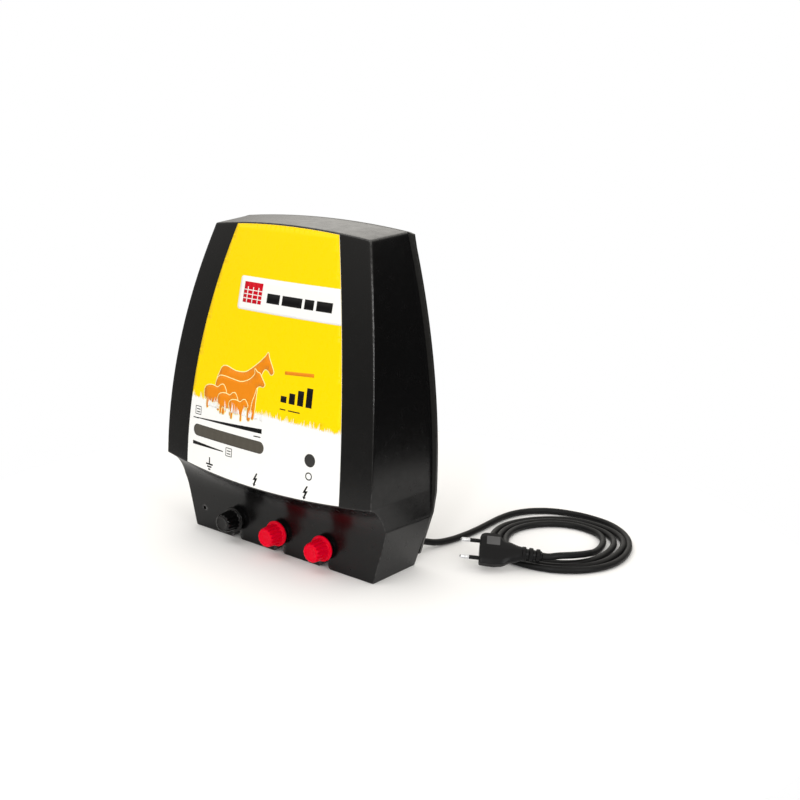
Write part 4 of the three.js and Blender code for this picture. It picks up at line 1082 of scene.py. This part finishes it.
def plug_shell():
    """The plug's body, with a low ridge down each side and a ribbed relief."""
    bm = bmesh.new()
    around = 112
    rings = []
    for along in (0, 0.35, 1.2, 2.4, 4, 6, 9, 12, 15, 17, 18.5, 20, 21.5, 23, 24.5, 26, 28, 30, 32.5, 35, 38, 41,
                  42.5):
        drop = {0: 1.2, 0.35: 0.55, 1.2: 0.15}.get(along, 0)
        deep = along_curve(PLUG_DEEP, along) - drop
        taper = min(1, max(0, (along - 20) / 20))
        ring = []
        for k in range(around):
            angle = 2 * math.pi * (k + 0.5) / around
            c, s = math.cos(angle), math.sin(angle)
            wide = along_curve(PLUG_UP if c > 0 else PLUG_DOWN, along) - drop
            r = mix(min(reach / (across * abs(c) + up * abs(s)) for across, up, reach in FACETS), 1, taper)
            ring.append(bm.verts.new(on_plug(along, deep * r * s, wide * r * c)))
        rings.append(ring)
    bm.faces.new(rings[0])
    bm.faces.new(rings[-1][::-1])
    for a, b in zip(rings, rings[1:]):
        join_rings(bm, a, b, around)
    shell = publish("plug_shell", bm, "plug")
    profile = [(38, 0), (38, 5.6)]
    for rib in range(3):
        start = RELIEF_START + 0.4 + rib * 7
        r = 7.3 - rib * 0.5
        profile += [(start, r - 1.5), (start + 0.3, r - 0.4), (start + 0.9, r), (start + 3.6, r),
                    (start + 4.2, r - 0.4), (start + 4.5, r - 1.5), (start + 5.6, r - 1.8)]
    profile += [(RELIEF_END - 0.2, 3.75), (RELIEF_END, 3.5), (RELIEF_END, 0)]
    carve(shell, "UNION", add_lathe(bmesh.new(), profile, PLUG_PLACE, 48))
    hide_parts("plug_body")
    return shell


def plug_grip(name, side):
    """A pad on the upper half of one side of the plug."""
    rows = []
    for x in (6.5, 7, *(7.8 + 1.5 * k for k in range(8)), 19.2, 19.7):
        inner = 0.5 if x in (6.5, 19.7) else 0
        spots = [3.6 + inner, *(mix(4.1, 12.7, k / 8) for k in range(9)), 13.2 - inner]
        proud = [0.4 if 0 < k < 10 and not inner else 0.1 for k in range(11)]
        top = [(x, side * (6.85 * (1 - 0.316 * z / 17.65) + up), z) for z, up in zip(spots, proud)]
        rows.append((top, [(x, y - side, z) for x, y, z in top]))
    grip = add_ruled_body(bmesh.new(), rows, place=on_plug)
    return publish(name, grip, "plug", GRIP)


def plug():
    """A two-pin plug with grip pads; returns its pieces."""
    pieces = [plug_shell(), plug_grip("plug_grip_front", -1), plug_grip("plug_grip_back", 1)]
    for order, z in enumerate((-9.3, 9.3), 1):
        place = PLUG_PLACE @ Matrix.Translation((0, 0, z))
        pin = [(-19, 0), (-18.9, 0.8), (-18.5, 1.4), (-17.8, 1.85), (-17, 2), (-9.9, 2), (-9.8, 1.3), (2.9, 1.3),
               (2.9, 0)]
        contact = publish(f"plug_contact_{order}", add_lathe(bmesh.new(), pin, place, 40), "steel")
        sleeve = [(-9.6, 1.32), (-9.6, 1.8), (-9.4, 1.97), (1.2, 1.97), (1.2, 1.32)]
        bm = add_lathe(bmesh.new(), sleeve, place, 40, closed=True)
        jacket = publish(f"contact_sleeve_{order}", bm, "plug")
        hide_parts(f"plug_pin_{order}")
        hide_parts(f"pin_sleeve_{order}")
        pieces += [contact, jacket]
    return pieces


# ---- scene
def floor():
    bm = bmesh.new()
    bmesh.ops.create_circle(bm, cap_ends=True, radius=0.47, segments=96)
    s = Shader("pale_floor")
    s.set(base_color=s.blend(s.noise(900, 2, 0.5), (0.9, 0.9, 0.91), (0.93, 0.93, 0.94)), roughness=0.9,
          specular_ior_level=0.1)
    obj = mesh_object("floor", bm, False)
    obj.data.materials.append(s.material)
    obj.location = (0.07, 0.02, -0.0002)


place_camera()
supply_cord(plug())
cord_gland()
studio()
floor()
dress_frame()
front_casing()
rear_plate()
cover_screws()
label_sheet()
lens("display_lens", "display_window", "smoked_window", stadium(*WINDOW[:3], WINDOW[3] - 0.4), 0.12)
lens("lamp_glass", "alarm_lens", "lamp_lens", circle(*LAMP[:2], LAMP[2] - 0.35), 0.1)
print_grounds()
print_herd()
print_signs()
terminals()
